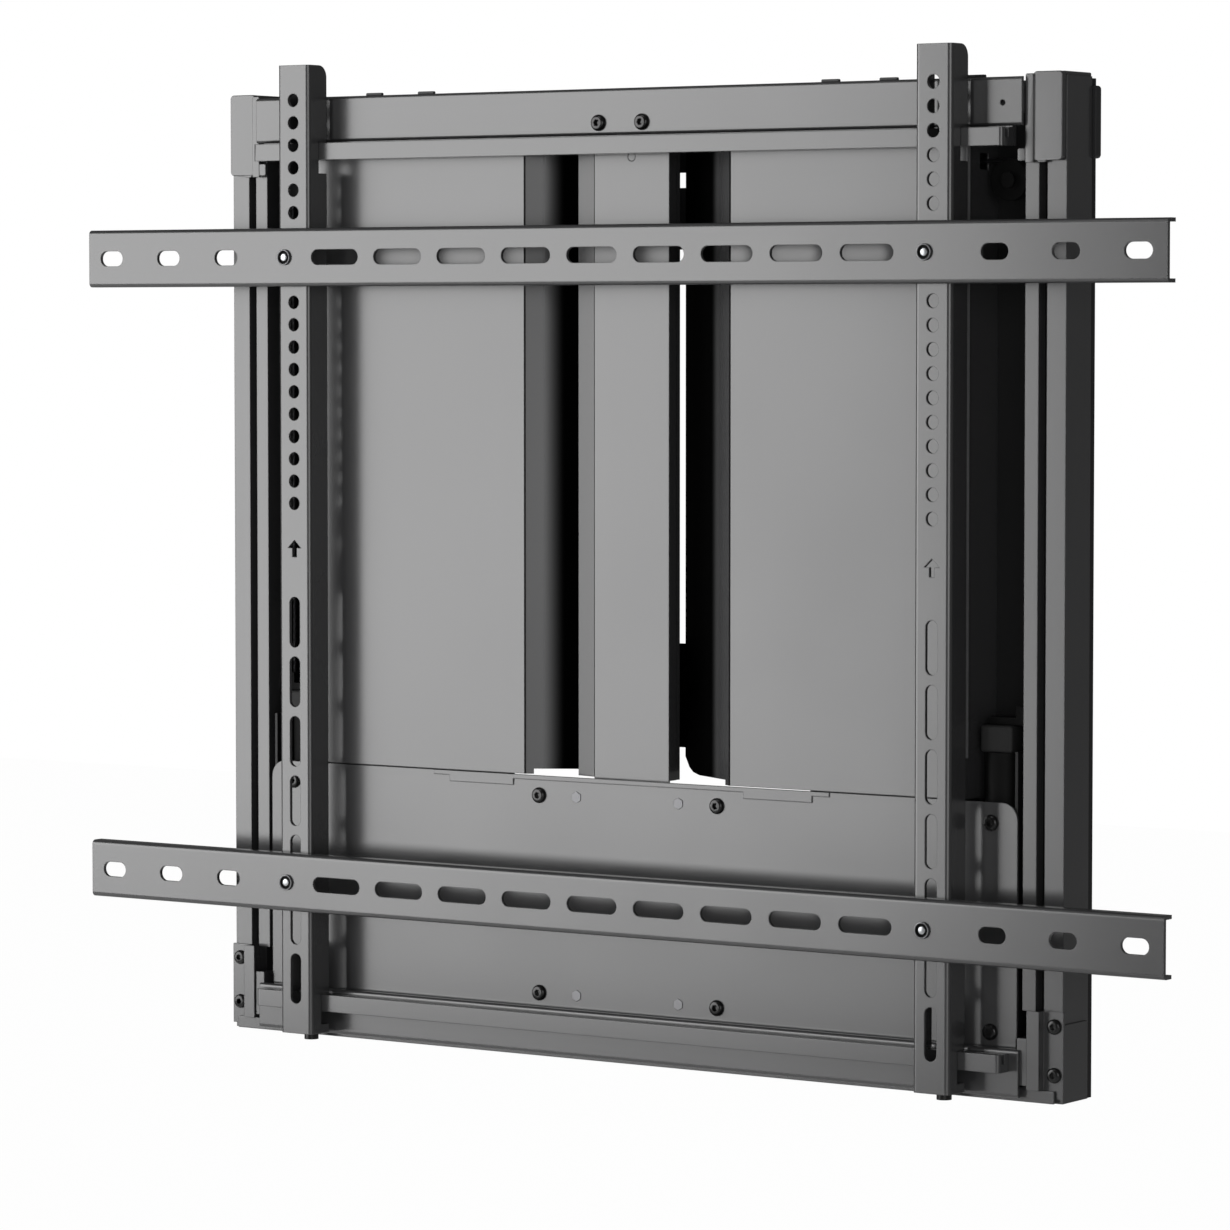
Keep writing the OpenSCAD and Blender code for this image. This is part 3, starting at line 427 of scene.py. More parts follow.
def add_plate(bm, low, high, rounding, corners=ALL_CORNERS, edge=0.0):
    """A plate that faces the screen. Corners are named by their side in X and Z, and edge rounds its front."""
    low, high = Vector(low), Vector(high)
    verts = add_box(bm, low, high)
    middle = (low + high) / 2
    turned = []
    for item in edges_of(verts):
        first, second = (vert.co for vert in item.verts)
        place = (first + second) / 2 - middle
        corner = (1 if place.x > 0 else -1, 1 if place.z > 0 else -1)
        if abs(second.y - first.y) > NEAR and corner in corners:
            turned.append(item)
    made = round_edges(bm, turned, rounding, segments=4)
    if edge > 0:
        outline = [vert for vert in (*verts, *made["verts"]) if vert.is_valid]
        rims = [item for item in edges_of(outline)
                if all(abs(vert.co.y - low.y) < NEAR for vert in item.verts) and len(item.link_faces) == 2]
        round_edges(bm, rims, edge)


def spun(bm, profile, centre, axis=FRONT, segments=32):
    """Adds a turned body. Its profile holds (radius, reach along the axis) pairs."""
    side = axis.orthogonal().normalized()
    verts = [bm.verts.new(Vector(centre) + side * radius + axis * reach) for radius, reach in profile]
    edges = [bm.edges.new(pair) for pair in zip(verts, verts[1:])]
    bmesh.ops.spin(bm, geom=verts + edges, cent=centre, axis=axis, dvec=(0, 0, 0), angle=math.tau,
                   steps=segments, use_merge=True, use_duplicate=False)
    bmesh.ops.remove_doubles(bm, verts=bm.verts, dist=NEAR)


def add_turns(bm, turn, section, centre, rise, turns, closed=False):
    """Winds a section round Z: spins one turn, then repeats it up the winding and joins the turns."""
    bmesh.ops.spin(turn, geom=section + edges_of(section), cent=centre, axis=UP,
                   dvec=(0, 0, rise / TURN_STEPS), angle=math.tau, steps=TURN_STEPS, use_merge=False,
                   use_duplicate=False)
    mesh = bpy.data.meshes.new("turn")
    turn.to_mesh(mesh)
    turn.free()
    winding = bmesh.new()
    for _ in range(turns):
        winding.from_mesh(mesh)
        mesh.transform(Matrix.Translation((0, 0, rise)))
    bpy.data.meshes.remove(mesh)
    bmesh.ops.remove_doubles(winding, verts=winding.verts, dist=2 * NEAR)
    if closed:
        rims = [edge for edge in winding.edges if edge.is_boundary]
        bmesh.ops.holes_fill(winding, edges=rims, sides=0)
    put_in(bm, winding)


def add_coil(bm, centre, low, high, radius, wire, turns):
    """A coil of round wire along Z, with closed ends."""
    start = Vector((centre.x + radius - wire, centre.y, low + wire))
    coil = bmesh.new()
    made = bmesh.ops.create_circle(coil, cap_ends=False, radius=wire, segments=WIRE_SIDES,
                                   matrix=Matrix.Translation(start) @ Matrix.Rotation(math.tau / 4, 4, "X"))
    add_turns(bm, coil, list(made["verts"]), centre, (high - low - 2 * wire) / turns, turns, closed=True)


def add_eye(bm, centre, radius, wire, segments=20):
    """A closed ring of round wire that stands upright and faces the screen."""
    made = bmesh.ops.create_circle(bm, cap_ends=False, radius=wire, segments=WIRE_SIDES,
                                   matrix=Matrix.Translation(centre + Vector((radius, 0, 0))))
    verts = list(made["verts"])
    bmesh.ops.spin(bm, geom=verts + edges_of(verts), cent=centre, axis=-FRONT, dvec=(0, 0, 0),
                   angle=math.tau, steps=segments, use_merge=True, use_duplicate=False)


def rope_ring(bm, centre, radius, strands=6, groove=0.8):
    """Closed end of a wire rope in the plane across Z, drawn in to a share of its radius between strands."""
    made = bmesh.ops.create_circle(bm, cap_ends=False, radius=radius, segments=2 * strands,
                                   matrix=Matrix.Translation(centre))
    ring = list(made["verts"])
    for vert in ring[1::2]:
        vert.co = centre + (vert.co - centre) * groove
    bmesh.ops.contextual_create(bm, geom=ring)
    return ring


def rope_run(bm, ring, travel, step=1.6 * MM, twist=0.32):
    """Draws a rope's section out along Z, turns it by twist at each step, and gives the last ring."""
    count = max(1, round(abs(travel) / step))
    for _ in range(count):
        ring = verts_in(bmesh.ops.extrude_edge_only(bm, edges=ring_edges(ring))["geom"])
        centre = sum((vert.co for vert in ring), Vector()) / len(ring)
        bmesh.ops.translate(bm, vec=(0, 0, travel / count), verts=ring)
        bmesh.ops.rotate(bm, cent=centre, matrix=Matrix.Rotation(twist, 3, "Z"), verts=ring)
    return ring


def add_button_head(bm, seat, radius, turn):
    """A domed screw head on its seat, with a hexagon socket turned by an angle."""
    height, shoulder, rim = BUTTON_HEIGHT * radius, 0.06 * radius, 0.62 * radius
    socket_radius, socket_depth, steps = 0.42 * radius, 0.4 * radius, 7
    profile = [(0.985 * radius, -0.2 * MM), (radius, shoulder)]
    for step in range(1, steps + 1):
        angle = math.tau / 4 * step / steps
        profile.append((rim + (radius - rim) * math.cos(angle),
                        shoulder + (height - shoulder) * math.sin(angle)))
    head = bmesh.new()
    spun(head, profile, seat)
    top = seat + FRONT * height
    rim_edges = [edge for edge in head.edges
                 if all(abs((vert.co - top).dot(FRONT)) < NEAR for vert in edge.verts)]
    facing = Matrix.Rotation(math.tau / 4, 4, "X") @ Matrix.Rotation(turn, 4, "Z")
    hexagon = bmesh.ops.create_circle(head, cap_ends=False, radius=socket_radius, segments=6,
                                      matrix=Matrix.Translation(top) @ facing)
    hex_edges = edges_of(hexagon["verts"])
    bmesh.ops.bridge_loops(head, edges=rim_edges + hex_edges)
    bottom = verts_in(bmesh.ops.extrude_edge_only(head, edges=hex_edges)["geom"])
    bmesh.ops.translate(head, vec=-FRONT * socket_depth, verts=bottom)
    bmesh.ops.contextual_create(head, geom=bottom)
    put_in(bm, head)


def solid_boxes(node):
    """Lowest and highest corners of each separate solid of a CAD node, from the bottom up."""
    bm = bmesh.new()
    bm.from_mesh(frame["nodes"][node].data)
    bmesh.ops.remove_doubles(bm, verts=bm.verts, dist=NEAR)
    left = set(bm.verts)
    boxes = []
    for seed in bm.verts:
        if seed not in left:
            continue
        left.discard(seed)
        group, heap = [seed], [seed]
        while heap:
            for edge in heap.pop().link_edges:
                for vert in edge.verts:
                    if vert in left:
                        left.discard(vert)
                        group.append(vert)
                        heap.append(vert)
        boxes.append([Vector([pick(vert.co[axis] for vert in group) for axis in range(3)])
                      for pick in (min, max)])
    bm.free()
    return sorted(boxes, key=lambda box: (round(box[0].z, 3), round(box[0].x, 3)))


# Operators

class WALLLIFT_OT_stage(bpy.types.Operator):
    """Camera at the photograph's angle, soft lamps, pale floor and white surroundings"""
    bl_idname = "walllift.stage"
    bl_label = "Stage"

    def execute(self, context):
        s = context.scene.wall_lift_stage
        back = Vector((math.sin(s.azimuth) * math.cos(s.pitch), -math.cos(s.azimuth) * math.cos(s.pitch),
                       math.sin(s.pitch)))
        lens = bpy.data.cameras.new("camera")
        lens.lens = s.lens
        lens.sensor_width = 36.0
        lens.clip_end = 50.0
        camera = bpy.data.objects.new("camera", lens)
        camera.location = Vector(s.aim) + back * s.distance
        camera.rotation_euler = (-back).to_track_quat("-Z", "Y").to_euler()
        context.scene.collection.objects.link(camera)
        context.scene.camera = camera
        self.lamp(context, "key_lamp", turn=-43.5, reach=2.6, height=0.3, wide=1.9, tall=1.9,
                  level=s.key_level)
        self.lamp(context, "fill_lamp", turn=40.0, reach=4.6, height=0.4, wide=2.8, tall=2.4,
                  level=s.fill_level)
        self.lamp(context, "top_lamp", turn=-10.0, reach=1.6, height=2.2, wide=1.4, tall=1.4,
                  level=s.top_level)
        self.surroundings(context, s.ambient, s.shine)
        self.floor(context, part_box("back_plate")[0][2] - s.floor_drop)
        context.scene.view_settings.view_transform = "Standard"
        return {"FINISHED"}

    @staticmethod
    def lamp(context, name, turn, reach, height, wide, tall, level):
        """A soft rectangular lamp at an angle round the lift, which it faces, as bright at any size."""
        light = bpy.data.lights.new(name, "AREA")
        light.shape = "RECTANGLE"
        light.size = wide
        light.size_y = tall
        light.energy = level * wide * tall * math.pi
        lamp = bpy.data.objects.new(name, light)
        angle = math.radians(turn)
        lamp.location = (math.sin(angle) * reach, -math.cos(angle) * reach, height)
        lamp.rotation_euler = (-Vector(lamp.location)).to_track_quat("-Z", "Y").to_euler()
        context.scene.collection.objects.link(lamp)

    @staticmethod
    def surroundings(context, ambient, shine):
        """White where the camera sees it, dimmer in reflections and in the light on the lift."""
        world = bpy.data.worlds.new("studio")
        context.scene.world = world
        world.use_nodes = True
        tree = world.node_tree
        light = tree.nodes["Background"]
        light.inputs["Color"].default_value = (1, 1, 1, 1)
        path = tree.nodes.new("ShaderNodeLightPath").outputs
        seen = add_math(tree, "MAXIMUM", path["Is Camera Ray"], path["Is Transmission Ray"])
        unseen_level = add_range(tree, path["Is Glossy Ray"], to_min=ambient, to_max=shine,
                                 interpolation="LINEAR")
        feed(tree, add_mix(tree, "FLOAT", seen, unseen_level, 1.0), light.inputs["Strength"])

    @staticmethod
    def floor(context, height):
        """A pale floor that the camera sees almost white, with a faint shadow of the lift."""
        half_size, pale, white_share = 9.0, 0.9, 0.985
        bm = bmesh.new()
        bmesh.ops.create_grid(bm, x_segments=1, y_segments=1, size=half_size)
        bmesh.ops.translate(bm, vec=(0, 0, height), verts=bm.verts)
        mesh = bpy.data.meshes.new("floor")
        bm.to_mesh(mesh)
        bm.free()
        material = bpy.data.materials.new("floor_paint")
        material.use_nodes = True
        tree = material.node_tree
        shader = tree.nodes["Principled BSDF"]
        shader.inputs["Base Color"].default_value = (pale, pale, pale, 1)
        shader.inputs["Roughness"].default_value = 0.9
        shader.inputs["Specular IOR Level"].default_value = 0.1
        glow = tree.nodes.new("ShaderNodeEmission")
        glow.inputs["Color"].default_value = (1, 1, 1, 1)
        path = tree.nodes.new("ShaderNodeLightPath").outputs
        mix = tree.nodes.new("ShaderNodeMixShader")
        feed(tree, add_math(tree, "MULTIPLY", path["Is Camera Ray"], white_share), mix.inputs["Fac"])
        feed(tree, shader.outputs["BSDF"], mix.inputs[1])
        feed(tree, glow.outputs["Emission"], mix.inputs[2])
        feed(tree, mix.outputs["Shader"], tree.nodes["Material Output"].inputs["Surface"])
        mesh.materials.append(material)
        floor = bpy.data.objects.new("floor", mesh)
        context.scene.collection.objects.link(floor)


class WALLLIFT_OT_finishes(bpy.types.Operator):
    """Coats, plastic, blacks, bright steel, zinc and rubber, painted shade on the covers, slides, stop posts
    and pulleys, and which CAD node gets which
    """
    bl_idname = "walllift.finishes"
    bl_label = "Finishes"

    def execute(self, context):
        f = context.scene.wall_lift_finish
        orange_peel_group()
        handling_group()
        painted_shade_group()
        brush_group()
        coat = dict(colour=f.coat, change=0.06, roughness=f.coat_rough, roughness_change=0.02,
                    specular=0.85, bump_depth=0.00003, bump_strength=0.35, rounding=f.edge_round)
        finish_material("steel_coat", **coat)
        # painted shade: a copy of the coat that turns near black, rough and without shine on the covers' flanks
        # next to the column
        add_painted_shade(finish_material("painted_shade_coat", **coat), f.recess, roughness=0.9)
        finish_material("inner_coat", f.inner, change=0.15, roughness=0.5, roughness_change=0.06,
                        specular=0.35, bump_strength=0.5)
        finish_material("black_plastic", f.plastic, change=0.06, roughness=0.5, roughness_change=0.05,
                        specular=0.4, bump_strength=0.6, Wave_scale=700.0, Grain_scale=2600.0)
        finish_material("black_screw", f.screw, change=0.2, roughness=0.16, roughness_change=0.04,
                        specular=0.4, bump_strength=0.15)
        finish_material("fold_shade_and_cup_black", f.seam, change=0.2, roughness=0.7, roughness_change=0.08,
                        specular=0.1, bump_strength=0.3)
        finish_material("works_black_and_shade", f.works, change=0.2, roughness=0.65, roughness_change=0.08,
                        specular=0.12, bump_strength=0.4)
        finish_material("bright_steel", f.steel, change=0.08, roughness=0.3, roughness_change=0.06,
                        metallic=1.0, bump="brush_lines", bump_depth=0.00001, bump_strength=0.4)
        finish_material("rope_steel", f.rope, change=0.15, roughness=0.4, roughness_change=0.06,
                        metallic=1.0, bump_strength=0.3)
        finish_material("pin_steel", f.pin, change=0.08, roughness=0.34, roughness_change=0.05,
                        metallic=1.0, bump_strength=0.3, Wave_scale=1500.0)
        finish_material("clinch_zinc", f.zinc, change=0.15, roughness=0.42, roughness_change=0.06,
                        metallic=1.0, bump_strength=0.4, Wave_scale=1500.0, Grain_scale=4000.0)
        finish_material("buffer_rubber", f.rubber, change=0.2, roughness=0.7, roughness_change=0.08,
                        specular=0.3, bump_strength=0.8, Wave_scale=900.0)
        own = {"clinch_nuts": "clinch_zinc"}
        for side in ("left", "right"):
            # painted shade on the covers' flanks next to the column
            own["cover_" + side] = "painted_shade_coat"
            # stop posts: near black and matte, darker than their own colour, as painted shade
            own["stop_post_" + side] = "works_black_and_shade"
            own["top_cable_" + side] = "rope_steel"
        for subpart in frame["record"]["subparts"]:
            name = subpart["node"]
            # pulleys: the near-black works finish, darker than their black plastic, as painted shade inside the
            # housing
            finish = "works_black_and_shade" if "pulley" in name else own.get(name, subpart["material_slot"])
            self.dress(frame["nodes"][name], finish)
        # painted shade: the slides' faces nearer the wall than this depth take the near-black works finish
        slide_shade_depth = 27 * MM
        for side in ("left", "right"):
            self.dress_shaded_back(frame["nodes"]["slide_" + side], "works_black_and_shade", slide_shade_depth)
        return {"FINISHED"}

    @staticmethod
    def dress(node, finish):
        """Gives all faces of a CAD node one finish."""
        node.data.materials.clear()
        node.data.materials.append(bpy.data.materials[finish + "_finish"])
        for polygon in node.data.polygons:
            polygon.material_index = 0

    @staticmethod
    def dress_shaded_back(node, finish, depth):
        """Paints shade on the back: gives the faces that lie wholly nearer to the wall than a depth another
        finish.
        """
        node.data.materials.append(bpy.data.materials[finish + "_finish"])
        for polygon in node.data.polygons:
            if all(-node.data.vertices[index].co.y < depth for index in polygon.vertices):
                polygon.material_index = 1


class WALLLIFT_OT_screws(bpy.types.Operator):
    """Button head screws of the plate, the corner brackets and the upper channel"""
    bl_idname = "walllift.screws"
    bl_label = "Button screws"

    def execute(self, context):
        turn_per_metre = 40     # turns each socket by its place, so that they aren't all alike
        for node, body in (("plate_screws", "wall_unit"), ("corner_screws", "wall_unit"),
                           ("channel_screws", "carriage")):
            bm = bmesh.new()
            for low, high in solid_boxes(node):
                middle, radius = (low + high) / 2, (high.x - low.x) / 2
                seat = Vector((middle.x, low.y + BUTTON_HEIGHT * radius, middle.z))
                add_button_head(bm, seat, radius, turn=turn_per_metre * middle.x)
            piece_from(bm, node.replace("screws", "screw_heads"), body, "black_screw", replaced=(node,))
        return {"FINISHED"}


class WALLLIFT_OT_rail_screws(bpy.types.Operator):
    """Screws between the rails and the brackets, each with a spacer, a ringed head and a bright middle"""
    bl_idname = "walllift.rail_screws"
    bl_label = "Rail screws"

    def execute(self, context):
        # radii, and reaches from the face of the rail, in millimetres
        shank, spacer, head, cup, pin = 3.0, 7.0, 5.3, 4.35, 2.5
        chamfer, gap, rail_sheet, tail = 0.4, 0.02, 2.5, 5.0
        cup_floor, top = 0.3, 1.6
        heads, cups, pins = bmesh.new(), bmesh.new(), bmesh.new()
        for low, high in solid_boxes("rail_screws"):
            middle = (low + high) / 2
            face = Vector((middle.x, low.y + top * MM, middle.z))
            back = -(high.y - face.y) / MM
            self.turned(heads, face, [
                (0, back), (shank - chamfer, back), (shank, back + chamfer), (shank, back + tail),
                (spacer - chamfer, back + tail), (spacer, back + tail + chamfer),
                (spacer, -rail_sheet - chamfer), (spacer - chamfer, -rail_sheet), (shank, -rail_sheet),
                (shank, gap), (head, gap), (head, top - 0.3), (head - 0.1, top - 0.1), (head - 0.3, top),
                (cup + 0.25, top), (cup + 0.05, top - 0.15), (cup, top - 0.4), (cup, cup_floor),
                (pin, cup_floor), (0, cup_floor)])
            self.turned(cups, face, [
                (pin, cup_floor + gap), (cup - gap, cup_floor + gap), (cup - gap, top - 0.5),
                (cup - 0.15, top - 0.5), (cup - 0.25, cup_floor + 0.2), (pin, cup_floor + 0.2),
                (pin, cup_floor + gap)])
            self.turned(pins, face, [
                (0, cup_floor + gap), (pin + 0.05, cup_floor + gap), (pin + 0.05, top - 0.7),
                (pin - 0.15, top - 0.4), (pin - 0.9, top - 0.18), (0, top - 0.1)])
        piece_from(heads, "rail_screw_heads", "screen_frame", "bright_steel", "clinch_zinc",
                   ("rail_screws",))
        piece_from(cups, "rail_screw_cups", "screen_frame", "black_screw", "fold_shade_and_cup_black")
        piece_from(pins, "rail_screw_pins", "screen_frame", "bright_steel", "pin_steel")
        return {"FINISHED"}

    @staticmethod
    def turned(bm, face, profile):
        """Adds a turned body at a rail screw, from radius and reach in millimetres."""
        body = bmesh.new()
        spun(body, [(radius * MM, reach * MM) for radius, reach in profile], face, segments=40)
        put_in(bm, body)


class WALLLIFT_OT_seams(bpy.types.Operator):
    """Painted shade lines on the folds, outer edges of the covers, plug of the column and the strip across the
    feet
    """
    bl_idname = "walllift.seams"
    bl_label = "Painted fold shade and foot strip"

    def execute(self, context):
        w = context.scene.wall_lift_works
        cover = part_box("cover_right")
        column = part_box("column_cover")
        self.seams(w, cover, column)
        self.cover_edges(w, cover)
        self.column_plug(column)
        self.foot_strip()
        return {"FINISHED"}

    @staticmethod
    def seams(w, cover, column):
        """Painted shade: dark lines a hair proud of the covers' inner folds and of the column's left fold."""
        foot = cover[0].z
        bm = bmesh.new()
        for fold, half, proud, sunk, (low, high) in (
                (-w.cover_fold, w.seam, 0.06 * MM, 0.4 * MM, cover),
                (w.cover_fold, w.seam, 0.06 * MM, 0.4 * MM, cover),
                (-column[1].x, 0.4 * w.seam, 0.05 * MM, 0.3 * MM, column)):
            add_box(bm, (fold - half, low.y - proud, foot), (fold + half, low.y + sunk, high.z))
        piece_from(bm, "painted_fold_shade", "wall_unit", "black_screw", "fold_shade_and_cup_black")

    @staticmethod
    def cover_edges(w, cover):
        """The edge that stands out beyond the outer side of each cover and catches the light."""
        low, high = cover
        lap, deep, foot_gap, top_gap = 0.4 * MM, 1.2 * MM, 26 * MM, 2 * MM
        bm = bmesh.new()
        for side in (-1, 1):
            start, end = sorted((side * (high.x - lap), side * (high.x + w.cover_edge)))
            add_plate(bm, (start, low.y - lap, low.z + foot_gap), (end, low.y + deep, high.z - top_gap),
                      0.3 * MM, edge=0.2 * MM)
        piece_from(bm, "cover_edges", "wall_unit", "steel_coat", flat_faces=True)

    @staticmethod
    def column_plug(column):
        """A plug, flush with the column's face, in its small upper hole."""
        low, high = column
        radius, deep, chamfer, drop = 2.9 * MM, 1.5 * MM, 0.2 * MM, 20 * MM
        bm = bmesh.new()
        spun(bm, [(0, 0), (radius, 0), (radius, deep - chamfer), (radius - chamfer, deep), (0, deep)],
             Vector((0, low.y + deep, high.z - drop)), segments=24)
        piece_from(bm, "column_plug", "wall_unit", "steel_coat")

    @staticmethod
    def foot_strip():
        """The thin strip that runs along the very bottom, under the lower channel."""
        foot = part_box("back_plate")[0].z
        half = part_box("upright_right")[1].x - 4 * MM
        front, back, tall = 41.7 * MM, 40.3 * MM, 8 * MM
        bm = bmesh.new()
        add_plate(bm, (-half, -front, foot), (half, -back, foot + tall), 0.9 * MM, edge=0.4 * MM)
        piece_from(bm, "foot_strip", "wall_unit", "steel_coat", flat_faces=True)


class WALLLIFT_OT_plugs(bpy.types.Operator):
    """Low rounded plugs in the upper edge of the top channel"""
    bl_idname = "walllift.plugs"
    bl_label = "Channel plugs"

    def execute(self, context):
        lower = 0.9 * MM
        bm = bmesh.new()
        for low, high in solid_boxes("channel_plugs"):
            add_plate(bm, low, (high.x, high.y, high.z - lower), 0.8 * MM, TOP_CORNERS, edge=0.3 * MM)
        piece_from(bm, "channel_plug_caps", "carriage", "black_plastic", replaced=("channel_plugs",),
                   flat_faces=True)
        return {"FINISHED"}


class WALLLIFT_OT_caps(bpy.types.Operator):
    """Caps over the upright tops, with rounded corners, a fold strip, a lug and a worn lower edge"""
    bl_idname = "walllift.caps"
    bl_label = "Upright caps"

    def execute(self, context):
        step, wide = 1.2 * MM, 21.2 * MM
        for side, node in ((-1, "top_cap_left"), (1, "top_cap_right")):
            low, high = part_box(node)
            outer = high.x if side > 0 else -low.x
            front, back, foot, top = -low.y, -high.y, low.z, high.z
            face, inner = front - step, outer - wide
            # face, worn lower edge, roof, fold strip and lug: from and to across, in depth and in
            # height, then the rounding, the corners that it rounds and the rounding of the front
            blocks = (
                (inner, outer, face - 4 * MM, face, foot + 1.2 * MM, top,
                 2.6 * MM, ((1, 1), (1, -1), (-1, 1)), 0.7 * MM),
                (inner + 3 * MM, inner + 9.5 * MM, face - 3.4 * MM, face - 0.3 * MM, foot, foot + 6 * MM,
                 1.4 * MM, ((1, -1), (-1, -1)), 0.4 * MM),
                (inner + 3.5 * MM, outer, back, face - 3.9 * MM, top - 2.3 * MM, top,
                 1.2 * MM, ((1, 1),), 0.4 * MM),
                (inner - 4.6 * MM, inner + 1.3 * MM, front - 1.8 * MM, front, foot, top - 1.3 * MM,
                 1.0 * MM, TOP_CORNERS, 0.5 * MM),
                (inner - 10.1 * MM, inner - 4.5 * MM, front - 1.8 * MM, front, foot + 1 * MM, foot + 9 * MM,
                 1.2 * MM, ((-1, 1), (-1, -1)), 0.5 * MM))
            bm = bmesh.new()
            for x_from, x_to, depth_from, depth_to, z_from, z_to, rounding, corners, edge in blocks:
                start, end = sorted((side * x_from, side * x_to))
                add_plate(bm, (start, -depth_to, z_from), (end, -depth_from, z_to), rounding,
                          [(side * x, z) for x, z in corners], edge)
            piece_from(bm, node + "_shell", "wall_unit", "steel_coat", replaced=(node,), flat_faces=True)
        return {"FINISHED"}


class WALLLIFT_OT_hook_ends(bpy.types.Operator):
    """Rounded ends of the wall hooks and the rubber buffers on the stop posts"""
    bl_idname = "walllift.hook_ends"
    bl_label = "Hook ends and buffers"

    def execute(self, context):
        bm = bmesh.new()
        for low, high in solid_boxes("wall_hook_ends"):
            side = 1 if low.x > 0 else -1
            add_plate(bm, low, high, 2.4 * MM, ((side, 1), (side, -1)), edge=0.8 * MM)
        piece_from(bm, "wall_hook_shells", "wall_unit", "black_plastic", replaced=("wall_hook_ends",),
                   flat_faces=True)
        for node in ("buffer_left", "buffer_right"):
            bm = bmesh.new()
            add_box(bm, *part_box(node), rounding=2.2 * MM, segments=4)
            piece_from(bm, node + "_rubber", "wall_unit", "buffer_rubber", replaced=(node,), flat_faces=True)
        return {"FINISHED"}


class WALLLIFT_OT_bars(bpy.types.Operator):
    """Hook bars of the carriage, with a groove for the brackets' hooks and rounded ends"""
    bl_idname = "walllift.bars"
    bl_label = "Hook bars"

    def execute(self, context):
        deep, tall = 12 * MM, 11.4 * MM
        lip, groove_back, groove_depth = 3.6 * MM, 7 * MM, 6 * MM
        for node in ("top_bar", "low_bar"):
            low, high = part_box(node)
            front, seat = -low.y, -high.y
            back, foot, top = front - deep, low.z, low.z + tall
            section = [(front, foot), (front, top), (front - lip, top), (front - lip, top - groove_depth),
                       (front - groove_back, top - groove_depth), (front - groove_back, top), (back, top)]
            if high.z > top + 0.1 * MM:
                section += [(back, high.z), (seat, high.z), (seat, foot)]
            else:
                section += [(back, foot)]
            bm = bmesh.new()
            face = bm.faces.new([bm.verts.new((low.x, -depth, z)) for depth, z in section])
            made = bmesh.ops.extrude_face_region(bm, geom=[face])
            bmesh.ops.translate(bm, vec=(high.x - low.x, 0, 0), verts=verts_in(made["geom"]))
            # first the upright edges of the front face, then its long ones
            for axis, rounding, segments in ((0, 2.6 * MM, 4), (2, 0.8 * MM, 3)):
                edges = [edge for edge in bm.edges
                         if all(abs(vert.co.y + front) < NEAR for vert in edge.verts)
                         and abs(edge.verts[0].co[axis] - edge.verts[1].co[axis]) < NEAR]
                round_edges(bm, edges, rounding, segments)
            piece_from(bm, node + "_shell", "carriage", "steel_coat", replaced=(node,), flat_faces=True)
        return {"FINISHED"}


class WALLLIFT_OT_springs(bpy.types.Operator):
    """Coil springs of the weight balance, with an eye at each end and their feet as pieces of their own"""
    bl_idname = "walllift.springs"
    bl_label = "Balance springs"

    def execute(self, context):
        w = context.scene.wall_lift_works
        for side in ("left", "right"):
            coils, feet = bmesh.new(), bmesh.new()
            for low, high in solid_boxes("springs_" + side):
                middle = (low + high) / 2
                radius = (high.x - low.x) / 2
                eye = 0.62 * radius
                for part, end, way in ((feet, low.z, 1), (coils, high.z, -1)):
                    add_eye(part, Vector((middle.x, middle.y, end + way * (eye + w.wire))), eye, w.wire)
                reach = 2 * (eye + w.wire) - 0.6 * w.wire
                pitch = (high.z - low.z - 2 * reach) / w.spring_turns
                split = low.z + reach + w.foot_turns * pitch
                add_coil(feet, middle, low.z + reach, split, radius, w.wire, w.foot_turns)
                add_coil(coils, middle, split, high.z - reach, radius, w.wire, w.spring_turns - w.foot_turns)
            piece = piece_from(coils, "spring_coils_" + side, "wall_unit", "bright_steel",
                               replaced=("springs_" + side,))
            low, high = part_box("springs_" + side)
            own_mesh(piece)
            foot = piece_from(feet, "spring_feet_" + side, None, "bright_steel")
            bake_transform(foot)
        return {"FINISHED"}


class WALLLIFT_OT_cables(bpy.types.Operator):
    """Twisted wire ropes that lift the slides, and those that hang round the pull blocks' pulleys"""
    bl_idname = "walllift.cables"
    bl_label = "Wire ropes"

    def execute(self, context):
        for side in ("left", "right"):
            low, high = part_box("lift_cable_" + side)
            middle, radius, length = (low + high) / 2, (high.x - low.x) / 2, high.z - low.z
            bm = bmesh.new()
            ring = rope_ring(bm, Vector((middle.x, middle.y, low.z)), radius)
            bmesh.ops.contextual_create(bm, geom=rope_run(bm, ring, length))
            piece = piece_from(bm, "lift_rope_" + side, "wall_unit", "bright_steel", "rope_steel",
                               ("lift_cable_" + side,))
            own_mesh(piece)
            self.pull_rope(side, radius)
        return {"FINISHED"}

    @staticmethod
    def pull_rope(side, radius):
        """The rope that hangs in a loop round a pull block's pulley."""
        low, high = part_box("pull_cable_" + side)
        middle = (low + high) / 2
        bend = (high.x - low.x) / 2 - radius
        centre = Vector((middle.x, middle.y, low.z + bend + radius))
        drop = high.z - centre.z
        bm = bmesh.new()
        ring = rope_run(bm, rope_ring(bm, Vector((low.x + radius, middle.y, high.z)), radius), -drop)
        made = bmesh.ops.spin(bm, geom=ring + ring_edges(ring), cent=centre, axis=FRONT, dvec=(0, 0, 0),
                              angle=math.pi, steps=20, use_merge=False, use_duplicate=False)
        bmesh.ops.contextual_create(bm, geom=rope_run(bm, verts_in(made["geom_last"]), drop))
        loop = piece_from(bm, "pull_rope_" + side, None, "bright_steel", "rope_steel",
                          ("pull_cable_" + side,))
        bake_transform(loop)


